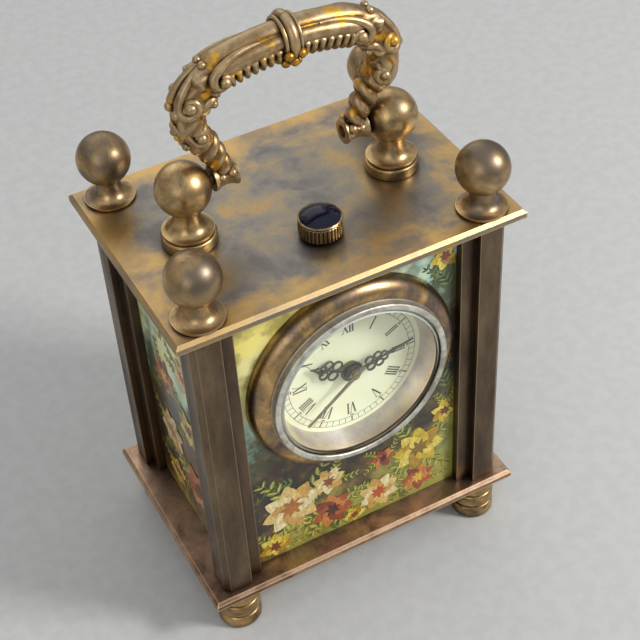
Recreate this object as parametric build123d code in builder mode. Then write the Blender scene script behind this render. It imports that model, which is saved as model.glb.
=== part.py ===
from build123d import *
from math import atan2, cos, degrees, hypot, radians, sin
import os

os.makedirs("parts", exist_ok=True)

# All sizes are millimetres. The feet stand on z = 0 and the dial faces -Y.

# Case
case_width = 45.0
case_depth = 31.8
plate_thickness = 1.1
plate_bevel = 0.4
column_height = 44.7
foot_height = 6.6
foot_radius = 2.9
foot_groove = 0.3

# Corner stacks: foot, column and ball finial share one threaded rod.
corner_inset_x = 4.2
corner_inset_y = 3.3
rod_radius = 1.1
finial_radius = 3.25
finial_ball_height = 5.7
finial_base_radius = 3.1
finial_neck_radius = 1.5
finial_neck_height = 2.3

# Panels stand in rebates of the columns; insets count from the plates' edges.
front_inset = 3.4
side_inset = 4.2
panel_thickness = 1.0
window_inset_x = 7.5
window_inset_y = 6.7
column_step = 1.2
column_inset_x = 1.9
column_inset_y = 1.1
column_corner = 0.7

# Swing handle and its two ball posts
post_inset = 4.8
post_ball_radius = 3.3
pivot_rise = 7.45
post_disc_radius = 3.3
post_disc_height = 1.6
post_neck_radius = 1.6
post_neck_height = 4.2
stud_radius = 0.9
stud_length = 3.4
nut_width = 3.8
nut_thickness = 1.1
handle_lean = 4.0
handle_rise = 16.0
handle_bar_radius = 2.1
knuckle_length = 3.05
knuckle_gap = 0.25
knuckle_radius = 1.45
pin_radius = 0.7

# Dial, bezel and glass
dial_drop = 16.2
dial_sink = 0.5
dial_radius = 10.7
dial_thickness = 0.4
bezel_radius = 14.1
bezel_lip_radius = 11.6
bezel_lip_height = 1.0
bezel_bore = 11.0
bezel_stand = 3.35
spigot_wall = 0.25
glass_sink = 0.2
glass_thickness = 0.8
glass_bevel = 0.4
reflector_flat = 0.45
reflector_slope = 1.1

# Hands, as clock angles in degrees from twelve
hour_hand_angle = 298.0
minute_hand_angle = 78.5
seconds_hand_angle = 227.0
hour_hand_length = 6.2
minute_hand_length = 8.6
seconds_hand_length = 9.0
hand_thickness = 0.2

# Crown
crown_depth = 5.6
crown_radius = 2.65
crown_gap = 0.25
crown_height = 2.35
crown_notches = 24
stone_radius = 2.45
stone_rise = 0.9
stem_radius = 0.55
tube_radius = 1.2

# Movement: the plate is as thick as its middle needs for the stem.
movement_radius = 12.0
plate_half = 1.3
train_room = 5.0
bridge_thickness = 1.2
ring_wall = 2.3
seconds_arbor = 0.22
centre_tube_bore = 0.28
centre_tube = 0.48
cannon_pipe = 0.72
hour_pipe_bore = 0.79
hour_pipe = 1.05
arbor_radius = 0.3
pivot_radius = 0.2
wheel_thickness = 0.3

# Tooth counts
barrel_teeth = 48
centre_pinion_teeth = 8
centre_teeth = 45
third_pinion_teeth = 6
third_teeth = 48
fourth_pinion_teeth = 6
fourth_teeth = 60
escape_pinion_teeth = 6
escape_teeth = 15
cannon_teeth = 10
minute_teeth = 30
minute_pinion_teeth = 8
hour_teeth = 32
winding_teeth = 24

# Modules; the centre wheel takes the third wheel's centre distance.
barrel_module = 0.2
third_module = 0.17
fourth_module = 0.138
motion_module = 0.18
winding_module = 0.2

# Clearances
fit = 0.03
running = 0.05
shake = 0.1

# Places that follow from the sizes above
half_width = case_width / 2
half_depth = case_depth / 2
corner_x = half_width - corner_inset_x
corner_y = half_depth - corner_inset_y
side_face = half_width - side_inset
front_face = half_depth - front_inset
window_half_width = half_width - window_inset_x
window_half_depth = half_depth - window_inset_y
column_reach_x = half_width - column_inset_x
column_reach_y = half_depth - column_inset_y
rebate = panel_thickness + shake
column_bottom = foot_height + plate_thickness
top_under = column_bottom + column_height
top_face = top_under + plate_thickness
pivot_height = top_face + pivot_rise
post_x = corner_x - post_inset
knuckle_outer = post_x - post_ball_radius - knuckle_gap
knuckle_inner = knuckle_outer - knuckle_length
rod_bore = rod_radius + fit
panel_hole = bezel_bore + spigot_wall + fit
corners = [(x, y) for x in (-corner_x, corner_x) for y in (-corner_y, corner_y)]

# Depths of dial, glass and hands
dial_height = top_under - dial_drop
dial_face = front_face - dial_sink
bezel_front = front_face + bezel_stand
glass_front = bezel_front - glass_sink
hour_hand_back = -dial_face - 0.5
minute_hand_back = hour_hand_back - hand_thickness - 0.2
seconds_hand_back = minute_hand_back - hand_thickness - 0.4
seconds_front = seconds_hand_back - hand_thickness - 0.25

# Depths of the movement
crown_y = crown_depth - front_face
plate_front = crown_y - plate_half
plate_back = crown_y + plate_half
bridge_front = plate_back + train_room
bridge_back = bridge_front + bridge_thickness
ring_radius = movement_radius + ring_wall

# Places of the movement's arbors, from the dial centre
centre_module = third_module * (third_teeth + fourth_pinion_teeth) / (centre_teeth + third_pinion_teeth)


def spread(teeth, others, module):
    """Distance between two arbors whose wheels mesh."""
    return (teeth + others) * module / 2


def around(radius, angle, x=0.0, z=0.0):
    """Point at a radius and angle, seen from the front, from x, z."""
    return x + radius * cos(radians(angle)), z + radius * sin(radians(angle))


barrel_angle = 140.0
third_angle = 50.0
escape_angle = -40.0
minute_angle = 270.0
barrel_x, barrel_z = around(spread(barrel_teeth, centre_pinion_teeth, barrel_module), barrel_angle)
third_x, third_z = around(spread(third_teeth, fourth_pinion_teeth, third_module), third_angle)
escape_x, escape_z = around(spread(fourth_teeth, escape_pinion_teeth, fourth_module), escape_angle)
minute_x, minute_z = around(spread(cannon_teeth, minute_teeth, motion_module), minute_angle)
winding_angle = 61.5
winding_spread = spread(winding_teeth, winding_teeth, winding_module)
crown_wheel_x, crown_wheel_z = around(winding_spread, winding_angle, barrel_x, barrel_z)
balance_x, balance_z = around(8.45, -63.5)
balance_radius = 3.2
lever_angle = degrees(atan2(balance_z - escape_z, balance_x - escape_x))
lever_spread = hypot(balance_x - escape_x, balance_z - escape_z)
escape_radius = 2.0
fork_from_escape = 2.45
fork_x, fork_z = around(fork_from_escape, lever_angle, escape_x, escape_z)
cock_x, cock_z = around(10.9, -30)
click_x, click_z = -8.2, 5.6
legs = [around(10.6, angle) for angle in (75, 200, 262, 352)]
case_screws_at = [around(movement_radius + 0.75, angle) for angle in (45, 165, 285)]


def facing(x, z, back, turn=0.0):
    """Plane that faces the front at x, z from the dial centre, turned anticlockwise."""
    across = (cos(radians(turn)), 0, sin(radians(turn)))
    return Plane(origin=(x, back, dial_height + z), x_dir=across, z_dir=(0, -1, 0))


def outline(points, mode=Mode.ADD):
    """Fills a closed outline in the sketch that is open."""
    with BuildLine() as edge:
        Polyline(*points, close=True)
    make_face(edge.edges(), mode=mode)


def turn_up(x, y, points, mode=Mode.ADD):
    """Turns an outline of radius and height about an upright axis."""
    with BuildSketch(Plane(origin=(x, y, 0), x_dir=(1, 0, 0), z_dir=(0, -1, 0))) as half:
        outline(points)
    revolve(half.sketch, axis=Axis((x, y, 0), (0, 0, 1)), mode=mode)


def turn_round(x, z, points, mode=Mode.ADD):
    """Turns an outline of radius and y about an axis that runs front to back."""
    with BuildSketch(Plane(origin=(x, 0, dial_height + z), x_dir=(1, 0, 0), z_dir=(0, 0, 1))) as half:
        outline(points)
    revolve(half.sketch, axis=Axis((x, 0, dial_height + z), (0, 1, 0)), mode=mode)


def rod_round(x, z, radius, front, back, mode=Mode.ADD):
    """Plain round rod or hole from front to back."""
    turn_round(x, z, [(0, front), (radius, front), (radius, back), (0, back)], mode)


def toothed(teeth, module, flank, turn):
    """Draws a toothed disc; a flank gives half width over pitch and height over module."""
    pitch = 360 / teeth
    points = []
    for tooth in range(teeth):
        for share, rise in flank:
            angle = turn + pitch * (tooth + share)
            points.append(around(teeth * module / 2 + rise * module, angle))
    outline(points)


wheel_flank = ((-0.28, -1.2), (0.0, 0.9), (0.28, -1.2))
pinion_flank = ((-0.2, -1.5), (-0.12, 0.6), (0.12, 0.6), (0.2, -1.5))


def spiral(inner, outer, turns, strip):
    """Fills a flat spiral strip in the sketch that is open."""
    steps = 9 * turns
    grow = (outer - inner) / steps
    inside = [around(inner + grow * n, 360 * turns * n / steps) for n in range(steps + 1)]
    outside = [around(inner + strip + grow * n, 360 * turns * n / steps) for n in range(steps + 1)]
    outline(inside + outside[::-1])


def save(piece, name):
    """Names a finished piece and writes its file."""
    piece.part.label = name
    export_step(piece.part, "parts/" + name + ".step")


# Bottom plate: flat, bevelled round its upper edge, bored for the four rods.
with BuildPart() as bottom_plate:
    with BuildSketch(Plane.XY.offset(foot_height)):
        Rectangle(case_width, case_depth)
        with Locations(*corners):
            Circle(rod_bore, mode=Mode.SUBTRACT)
    extrude(amount=plate_thickness)
    chamfer(bottom_plate.faces().sort_by(Axis.Z)[-1].outer_wire().edges(), plate_bevel)
save(bottom_plate, "bottom_plate")

# Top plate: bored for rods, handle studs and the crown's tube.
with BuildPart() as top_plate:
    with BuildSketch(Plane.XY.offset(top_under)):
        Rectangle(case_width, case_depth)
        with Locations(*corners):
            Circle(rod_bore, mode=Mode.SUBTRACT)
        with Locations((-post_x, 0), (post_x, 0)):
            Circle(stud_radius + fit, mode=Mode.SUBTRACT)
        with Locations((0, crown_y)):
            Circle(tube_radius + fit, mode=Mode.SUBTRACT)
    extrude(amount=plate_thickness)
    chamfer(top_plate.faces().sort_by(Axis.Z)[-1].outer_wire().edges(), plate_bevel)
save(top_plate, "top_plate")

# Feet: three stacked rings, screwed on the lower ends of the rods.
rod_end_low = 2.6
ring_height = foot_height / 3
neck = foot_radius - foot_groove
foot_outline = [(0, 0), (foot_radius, 0)]
for ring in (1, 2):
    foot_outline.append((foot_radius, ring * ring_height - foot_groove))
    foot_outline.append((neck, ring * ring_height))
    foot_outline.append((foot_radius, ring * ring_height + foot_groove))
foot_outline += [(foot_radius, foot_height), (rod_bore, foot_height)]
foot_outline += [(rod_bore, rod_end_low - shake), (0, rod_end_low - shake)]
with BuildPart() as feet:
    for x, y in corners:
        turn_up(x, y, foot_outline)
save(feet, "feet")

# Ball finials: flared skirt, neck and ball in one, screwed on the upper rod ends.
rod_end_high = top_face + 4.6
ball_meets_neck = finial_ball_height - (finial_radius**2 - finial_neck_radius**2) ** 0.5
with BuildPart() as finials:
    for x, y in corners:
        with BuildSketch(Plane(origin=(x, y, top_face), x_dir=(1, 0, 0), z_dir=(0, -1, 0))):
            with BuildLine():
                Line((0, rod_end_high - top_face + shake), (rod_bore, rod_end_high - top_face + shake))
                Line((rod_bore, rod_end_high - top_face + shake), (rod_bore, 0))
                Line((rod_bore, 0), (finial_base_radius, 0))
                Line((finial_base_radius, 0), (finial_base_radius, 0.35))
                ThreePointArc(
                    (finial_base_radius, 0.35),
                    (finial_neck_radius + 0.35, 1.1),
                    (finial_neck_radius, finial_neck_height),
                )
                Line((finial_neck_radius, finial_neck_height), (finial_neck_radius, ball_meets_neck))
                ThreePointArc(
                    (finial_neck_radius, ball_meets_neck),
                    (finial_radius, finial_ball_height),
                    (0, finial_ball_height + finial_radius),
                )
                Line((0, finial_ball_height + finial_radius), (0, rod_end_high - top_face + shake))
            make_face()
        revolve(axis=Axis((x, y, 0), (0, 0, 1)))
save(finials, "finials")

# Threaded rods through the columns hold feet, plates and finials together.
with BuildPart() as tie_rods:
    with Locations(*[(x, y, (rod_end_low + rod_end_high) / 2) for x, y in corners]):
        Cylinder(rod_radius, rod_end_high - rod_end_low)
save(tie_rods, "tie_rods")

# Columns: stepped outside, rebated inside for two panels each.
column_points = [
    (window_half_width, front_face),
    (window_half_width, front_face + column_step),
    (window_half_width + 1.9, front_face + column_step),
    (window_half_width + 1.9, column_reach_y),
    (column_reach_x - column_corner, column_reach_y),
    (column_reach_x, column_reach_y - column_corner),
    (column_reach_x, window_half_depth + 1.9),
    (side_face + column_step, window_half_depth + 1.9),
    (side_face + column_step, window_half_depth),
    (side_face, window_half_depth),
    (side_face, window_half_depth + rebate + 0.3),
    (side_face - rebate, window_half_depth + rebate + 0.3),
    (side_face - rebate, front_face - rebate),
    (window_half_width + rebate, front_face - rebate),
    (window_half_width + rebate, front_face),
]
for name, side, face in (
    ("column_front_left", -1, -1),
    ("column_front_right", 1, -1),
    ("column_back_left", -1, 1),
    ("column_back_right", 1, 1),
):
    with BuildPart() as column:
        with BuildSketch(Plane.XY.offset(column_bottom)):
            outline([(side * x, face * y) for x, y in column_points])
            with Locations((side * corner_x, face * corner_y)):
                Circle(rod_bore, mode=Mode.SUBTRACT)
        extrude(amount=column_height)
    save(column, name)

# Front panel: painted plate with the bezel's opening and three blind screw holes.
front_half = window_half_width + rebate - running
panel_middle = column_height / 2 + column_bottom - dial_height
screw_radius = 0.5
with BuildPart() as front_panel:
    with BuildSketch(facing(0, 0, panel_thickness - front_face)):
        with Locations((0, panel_middle)):
            Rectangle(2 * front_half, column_height)
        Circle(panel_hole, mode=Mode.SUBTRACT)
    extrude(amount=panel_thickness)
    for x, z in case_screws_at:
        rod_round(x, z, screw_radius + fit, -front_face + 0.4, -front_face + panel_thickness + 0.1, Mode.SUBTRACT)
save(front_panel, "front_panel")

# Back panel: plain plate in the same rebates.
with BuildPart() as back_panel:
    with BuildSketch(facing(0, panel_middle, front_face)):
        Rectangle(2 * front_half, column_height)
    extrude(amount=panel_thickness)
save(back_panel, "back_panel")

# Side panels
side_half = window_half_depth + rebate + 0.3 - running
for name, side in (("left_panel", -1), ("right_panel", 1)):
    with BuildPart() as side_panel:
        with BuildSketch(Plane.XY.offset(column_bottom)):
            with Locations((side * (side_face - panel_thickness / 2), 0)):
                Rectangle(panel_thickness, 2 * side_half)
        extrude(amount=column_height)
    save(side_panel, name)

# Handle posts: disc, flared skirt, neck, ball and stud in one, cross-bored for the pin.
post_ball_meets_neck = pivot_rise - (post_ball_radius**2 - post_neck_radius**2) ** 0.5
for name, x in (("handle_post_left", -post_x), ("handle_post_right", post_x)):
    with BuildPart() as post:
        with BuildSketch(Plane(origin=(x, 0, top_face), x_dir=(1, 0, 0), z_dir=(0, -1, 0))):
            with BuildLine():
                Line((0, -stud_length), (stud_radius, -stud_length))
                Line((stud_radius, -stud_length), (stud_radius, 0))
                Line((stud_radius, 0), (post_disc_radius, 0))
                Line((post_disc_radius, 0), (post_disc_radius, post_disc_height - 0.3))
                Line((post_disc_radius, post_disc_height - 0.3), (post_disc_radius - 0.3, post_disc_height))
                ThreePointArc(
                    (post_disc_radius - 0.3, post_disc_height),
                    (post_neck_radius + 0.35, post_disc_height + 1.0),
                    (post_neck_radius, post_neck_height),
                )
                Line((post_neck_radius, post_neck_height), (post_neck_radius, post_ball_meets_neck))
                ThreePointArc(
                    (post_neck_radius, post_ball_meets_neck),
                    (post_ball_radius, pivot_rise),
                    (0, pivot_rise + post_ball_radius),
                )
                Line((0, pivot_rise + post_ball_radius), (0, -stud_length))
            make_face()
        revolve(axis=Axis((x, 0, 0), (0, 0, 1)))
        with Locations((x, 0, pivot_height)):
            Cylinder(pin_radius + fit, 3 * post_ball_radius, rotation=(0, 90, 0), mode=Mode.SUBTRACT)
    save(post, name)

# Nuts under the top plate
with BuildPart() as post_nuts:
    with BuildSketch(Plane.XY.offset(top_under - nut_thickness)):
        with Locations((-post_x, 0), (post_x, 0)):
            RegularPolygon(nut_width / 2, 6)
            Circle(stud_radius + fit, mode=Mode.SUBTRACT)
    extrude(amount=nut_thickness)
save(post_nuts, "post_nuts")

# Pins: fast in the post balls, running in the handle's knuckles.
pin_inner = knuckle_inner + 0.9
pin_outer = post_x + post_ball_radius - 0.25
with BuildPart() as handle_pins:
    with Locations(*[(side * (pin_inner + pin_outer) / 2, 0, pivot_height) for side in (-1, 1)]):
        Cylinder(pin_radius, pin_outer - pin_inner, rotation=(0, 90, 0))
save(handle_pins, "handle_pins")

# Handle: one cast bow, thin at the feet and full at the shoulders, on two knuckles.
# Each section gives x, its share of the rise, direction and share of the bar's radius.
bow_foot = (knuckle_inner + knuckle_outer) / 2
bow_shape = [
    (bow_foot, 0.04, 75, 0.5),
    (bow_foot + 0.9, 0.2, 70, 0.6),
    (bow_foot + 2.3, 0.375, 74, 0.88),
    (bow_foot + 3.4, 0.575, 88, 1.14),
    (bow_foot + 2.7, 0.76, 118, 1.17),
    (bow_foot + 0.2, 0.91, 150, 1.1),
    (bow_foot / 2, 0.98, 171, 1),
    (0, 1, 180, 1),
]
bow = [(x, share * handle_rise, way, thick * handle_bar_radius) for x, share, way, thick in bow_shape]
lean = radians(handle_lean)
other_half = [(-x, rise, 360 - direction, radius) for x, rise, direction, radius in reversed(bow[:-1])]
collar_height = pivot_height + handle_rise * cos(lean)
with BuildPart() as handle:
    for x, rise, direction, radius in bow + other_half:
        way = radians(direction)
        along = (cos(way), -sin(way) * sin(lean), sin(way) * cos(lean))
        middle = (x, -rise * sin(lean), pivot_height + rise * cos(lean))
        with BuildSketch(Plane(origin=middle, x_dir=(0, cos(lean), sin(lean)), z_dir=along)):
            Circle(radius)
    loft()
    with Locations((0, -handle_rise * sin(lean), collar_height)):
        Cylinder(handle_bar_radius + 0.35, 1.0, rotation=(0, 90, 0))
    for side in (-1, 1):
        with Locations((side * bow_foot, 0, pivot_height)):
            Cylinder(knuckle_radius - 0.15, knuckle_length, rotation=(0, 90, 0))
        with Locations(
            (side * (knuckle_inner + 0.25), 0, pivot_height),
            (side * (knuckle_outer - 0.25), 0, pivot_height),
        ):
            Cylinder(knuckle_radius, 0.5, rotation=(0, 90, 0))
        with Locations((side * bow_foot, 0, pivot_height)):
            Cylinder(pin_radius + running, knuckle_length + 1, rotation=(0, 90, 0), mode=Mode.SUBTRACT)
save(handle, "handle")

# Bezel: convex ring with a raised bright lip, spigoted into the panel's opening.
spigot_back = panel_thickness - shake - front_face
lip_foot = bezel_lip_height - bezel_front
with BuildPart() as bezel:
    with BuildSketch(Plane(origin=(0, 0, dial_height), x_dir=(1, 0, 0), z_dir=(0, 0, 1))):
        with BuildLine():
            Line((bezel_bore, -bezel_front), (bezel_lip_radius - 0.15, -bezel_front))
            Line((bezel_lip_radius - 0.15, -bezel_front), (bezel_lip_radius, -bezel_front + 0.15))
            Line((bezel_lip_radius, -bezel_front + 0.15), (bezel_lip_radius + 0.1, lip_foot))
            ThreePointArc(
                (bezel_lip_radius + 0.1, lip_foot),
                (bezel_radius - 0.75, lip_foot + 0.6),
                (bezel_radius, -front_face - 0.4),
            )
            Line((bezel_radius, -front_face - 0.4), (bezel_radius, -front_face))
            Line((bezel_radius, -front_face), (bezel_bore + spigot_wall, -front_face))
            Line((bezel_bore + spigot_wall, -front_face), (bezel_bore + spigot_wall, spigot_back))
            Line((bezel_bore + spigot_wall, spigot_back), (bezel_bore, spigot_back))
            Line((bezel_bore, spigot_back), (bezel_bore, -bezel_front))
        make_face()
    revolve(axis=Axis((0, 0, dial_height), (0, 1, 0)))
save(bezel, "bezel")

# Glass: thick flat crystal with a bevelled rim.
glass_radius = bezel_bore - fit
glass_back = glass_front - glass_thickness
with BuildPart() as crystal:
    turn_round(0, 0, [
        (0, -glass_front),
        (glass_radius - glass_bevel, -glass_front),
        (glass_radius, -glass_front + glass_bevel),
        (glass_radius, -glass_back),
        (0, -glass_back),
    ])
save(crystal, "crystal")

# Inner ring between glass and dial, coned toward the dial.
reflector_foot = bezel_bore - reflector_slope
with BuildPart() as reflector_ring:
    turn_round(0, 0, [
        (glass_radius, -glass_back),
        (glass_radius - reflector_flat, -glass_back),
        (reflector_foot, -dial_face),
        (glass_radius, -dial_face),
    ])
save(reflector_ring, "reflector_ring")

# Dial: thin disc with one middle hole.
dial_back = dial_face - dial_thickness
with BuildPart() as dial:
    turn_round(0, 0, [
        (hour_pipe + 0.15, -dial_face),
        (dial_radius, -dial_face),
        (dial_radius, -dial_back),
        (hour_pipe + 0.15, -dial_back),
    ])
save(dial, "dial")

# Movement ring: carries the dial in front and the movement behind.
ring_seat = movement_radius - 0.6
with BuildPart() as movement_ring:
    turn_round(0, 0, [
        (reflector_foot, -dial_back),
        (bezel_bore - 0.1, -dial_back),
        (bezel_bore - 0.1, -front_face + panel_thickness),
        (ring_radius, -front_face + panel_thickness),
        (ring_radius, plate_back),
        (movement_radius + running, plate_back),
        (movement_radius + running, plate_front),
        (ring_seat, plate_front),
        (ring_seat, -dial_back + 0.7),
        (reflector_foot, -dial_back + 0.7),
    ])
    for x, z in case_screws_at:
        rod_round(x, z, screw_radius + fit, -front_face, plate_back + 0.1, Mode.SUBTRACT)
    with Locations((0, crown_y, dial_height + ring_radius - ring_wall / 2)):
        Cylinder(stem_radius + 0.35, 2 * ring_wall, mode=Mode.SUBTRACT)
save(movement_ring, "movement_ring")

# Case screws: through the ring into the front panel, heads over the movement's rim.
head_rise = 0.5
with BuildPart() as case_screws:
    for x, z in case_screws_at:
        rod_round(x, z, screw_radius, -front_face + 0.5, plate_back)
        rod_round(x, z, 1.0, plate_back, plate_back + head_rise)
save(case_screws, "case_screws")

# Main plate: bored for the stem, pocketed for winding and setting pieces,
# with a stud in front for the minute wheel.
pilot_radius = 0.3
pilot_end = dial_height + 2.0
stem_foot = dial_height + 3.6
slide_pocket = (dial_height + 3.2, dial_height + 6.7)
pinion_pocket = (dial_height + 7.0, dial_height + 9.8)
pinion_radius = 1.1
stud_front = plate_front - 2.3
cover_screw_x, cover_screw_z = 1.75, 3.9
with BuildPart() as mainplate:
    rod_round(0, 0, movement_radius, plate_front, plate_back)
    rod_round(0, 0, centre_tube + running, plate_front - 1, plate_back + 1, Mode.SUBTRACT)
    rod_round(barrel_x, barrel_z, 0.85, plate_front - 1, plate_back + 1, Mode.SUBTRACT)
    rod_round(minute_x, minute_z, arbor_radius, stud_front, plate_front)
    rod_round(crown_wheel_x, crown_wheel_z, 0.45 + fit, plate_front - 1, plate_front + 1.1, Mode.SUBTRACT)
    rod_round(cover_screw_x, cover_screw_z, 0.3 + fit, plate_front - 1, plate_front + 1.1, Mode.SUBTRACT)
    rod_round(click_x, click_z, 0.3 + fit, plate_front - 1, plate_front + 1.1, Mode.SUBTRACT)
    for x, z in ((third_x, third_z), (escape_x, escape_z)):
        rod_round(x, z, pivot_radius + running, plate_back - 0.9, plate_back + 1, Mode.SUBTRACT)
    for x, z in ((fork_x, fork_z), (balance_x, balance_z)):
        rod_round(x, z, 0.12 + running, plate_back - 0.7, plate_back + 1, Mode.SUBTRACT)
    turn_up(0, crown_y, [
        (0, pilot_end - 0.3),
        (pilot_radius + running, pilot_end - 0.3),
        (pilot_radius + running, slide_pocket[0]),
        (stem_radius + running, slide_pocket[0]),
        (stem_radius + running, dial_height + movement_radius + 1),
        (0, dial_height + movement_radius + 1),
    ], Mode.SUBTRACT)
    with Locations((0, (plate_front + plate_back - 0.35) / 2, sum(slide_pocket) / 2)):
        Box(2.4, 2 * plate_half - 0.35, slide_pocket[1] - slide_pocket[0], mode=Mode.SUBTRACT)
    with Locations((0, (plate_front + plate_back - 0.15) / 2, sum(pinion_pocket) / 2)):
        Box(2.3, 2 * plate_half - 0.15, pinion_pocket[1] - pinion_pocket[0], mode=Mode.SUBTRACT)
save(mainplate, "mainplate")

# Train bridge: disc with four legs and their screw heads, open round the balance and its cock.
with BuildPart() as train_bridge:
    with BuildSketch(facing(0, 0, bridge_back)):
        Circle(movement_radius - 0.3)
        with Locations((balance_x, balance_z)):
            Circle(balance_radius + 0.6, mode=Mode.SUBTRACT)
        with Locations((cock_x, cock_z)):
            Circle(1.7, mode=Mode.SUBTRACT)
        outline(
            [
                (balance_x, balance_z),
                around(1.7, 60, cock_x, cock_z),
                (cock_x * 1.4, cock_z * 1.4),
                (balance_x * 1.6, balance_z * 1.6),
            ],
            Mode.SUBTRACT,
        )
    extrude(amount=bridge_thickness)
    for x, z in legs:
        rod_round(x, z, 0.95, plate_back, bridge_front)
        rod_round(x, z, 0.85, bridge_back, bridge_back + head_rise)
    for x, z in ((third_x, third_z), (escape_x, escape_z)):
        rod_round(x, z, pivot_radius + running, bridge_front - 1, bridge_back + 1, Mode.SUBTRACT)
    rod_round(0, 0, seconds_arbor + running, bridge_front - 1, bridge_back + 1, Mode.SUBTRACT)
    rod_round(barrel_x, barrel_z, 0.55, bridge_front - 1, bridge_back + 1, Mode.SUBTRACT)
save(train_bridge, "train_bridge")

# Balance cock: arm on one leg, with the head of its screw.
cock_back = bridge_front - 0.2
cock_front = cock_back - 1.2
cock_arm = hypot(cock_x - balance_x, cock_z - balance_z)
cock_turn = degrees(atan2(cock_z - balance_z, cock_x - balance_x))
with BuildPart() as balance_cock:
    with BuildSketch(facing(balance_x, balance_z, cock_back, cock_turn)):
        with Locations((cock_arm / 2, 0)):
            SlotCenterToCenter(cock_arm, 2.2)
    extrude(amount=cock_back - cock_front)
    rod_round(cock_x, cock_z, 1.1, plate_back, cock_front)
    rod_round(cock_x, cock_z, 0.85, cock_back, cock_back + head_rise)
    rod_round(balance_x, balance_z, 0.12 + running, cock_front - 1, cock_back + 1, Mode.SUBTRACT)
save(balance_cock, "balance_cock")

# Pallet bridge: low bar on two legs over the fork.
pallet_front = plate_back + 1.5
pallet_back = pallet_front + 0.4
with BuildPart() as pallet_bridge:
    with BuildSketch(facing(fork_x, fork_z, pallet_back, lever_angle + 90)):
        SlotCenterToCenter(4.4, 0.9)
    extrude(amount=pallet_back - pallet_front)
    for reach in (-2.2, 2.2):
        x, z = around(reach, lever_angle + 90, fork_x, fork_z)
        rod_round(x, z, 0.45, plate_back, pallet_back)
    rod_round(fork_x, fork_z, 0.12 + running, pallet_front - 1, pallet_back + 1, Mode.SUBTRACT)
save(pallet_bridge, "pallet_bridge")

# Barrel: toothed drum, open behind, with cover, spring and arbor.
drum_front = plate_back + 0.4
drum_back = drum_front + 1.6
drum_radius = 4.4
with BuildPart() as barrel:
    with BuildSketch(facing(barrel_x, barrel_z, drum_front + 0.45)):
        toothed(barrel_teeth, barrel_module, wheel_flank, barrel_angle + 180)
    extrude(amount=0.45)
    rod_round(barrel_x, barrel_z, drum_radius, drum_front, drum_back)
    rod_round(barrel_x, barrel_z, drum_radius - 0.3, drum_front + 0.25, drum_back + 1, Mode.SUBTRACT)
    rod_round(barrel_x, barrel_z, 0.85, drum_front - 1, drum_back + 1, Mode.SUBTRACT)
save(barrel, "barrel")

with BuildPart() as barrel_cover:
    rod_round(barrel_x, barrel_z, drum_radius - 0.3 - fit, drum_back - 0.25, drum_back)
    rod_round(barrel_x, barrel_z, 0.55, drum_back - 1, drum_back + 1, Mode.SUBTRACT)
save(barrel_cover, "barrel_cover")

with BuildPart() as mainspring:
    with BuildSketch(facing(barrel_x, barrel_z, drum_back - 0.35)):
        spiral(1.15, drum_radius - 0.5, 5, 0.15)
    extrude(amount=0.9)
save(mainspring, "mainspring")

core_front = drum_front + 0.3
core_back = drum_back - 0.35
winding_front = plate_front - 0.15
with BuildPart() as barrel_arbor:
    turn_round(barrel_x, barrel_z, [
        (0, winding_front - 0.55),
        (0.8, winding_front - 0.55),
        (0.8, core_front),
        (1.0, core_front),
        (1.0, core_back),
        (0.5, core_back),
        (0.5, bridge_back - 0.1),
        (0, bridge_back - 0.1),
    ])
save(barrel_arbor, "barrel_arbor")

# Winding wheels in front of the main plate
winding_disc = 0.35
with BuildPart() as ratchet_wheel:
    with BuildSketch(facing(barrel_x, barrel_z, winding_front)):
        toothed(winding_teeth, winding_module, wheel_flank, winding_angle)
        Circle(0.8 + fit, mode=Mode.SUBTRACT)
    extrude(amount=winding_disc)
save(ratchet_wheel, "ratchet_wheel")

with BuildPart() as crown_wheel:
    with BuildSketch(facing(crown_wheel_x, crown_wheel_z, winding_front)):
        toothed(winding_teeth, winding_module, wheel_flank, winding_angle + 180 + 180 / winding_teeth)
        Circle(0.55 + running, mode=Mode.SUBTRACT)
    extrude(amount=winding_disc)
save(crown_wheel, "crown_wheel")

with BuildPart() as crown_wheel_screw:
    rod_round(crown_wheel_x, crown_wheel_z, 0.45, plate_front + 1, plate_front)
    rod_round(crown_wheel_x, crown_wheel_z, 0.55, plate_front, winding_front - winding_disc - 0.1)
    rod_round(
        crown_wheel_x,
        crown_wheel_z,
        1.0,
        winding_front - winding_disc - 0.1,
        winding_front - winding_disc - 0.4,
    )
save(crown_wheel_screw, "crown_wheel_screw")

# Click: beak toward the ratchet wheel, turning on its screw.
click_turn = degrees(atan2(barrel_z - click_z, barrel_x - click_x))
with BuildPart() as click:
    with BuildSketch(facing(click_x, click_z, winding_front, click_turn)):
        Circle(0.7)
        outline([(0.2, -0.55), (1.6, -0.1), (1.6, 0.1), (0.2, 0.55)])
        Circle(0.4 + running, mode=Mode.SUBTRACT)
    extrude(amount=winding_disc)
save(click, "click")

with BuildPart() as click_screw:
    rod_round(click_x, click_z, 0.3, plate_front + 1, plate_front)
    rod_round(click_x, click_z, 0.4, plate_front, winding_front - winding_disc - 0.1)
    rod_round(click_x, click_z, 0.65, winding_front - winding_disc - 0.1, winding_front - winding_disc - 0.35)
save(click_screw, "click_screw")

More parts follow.
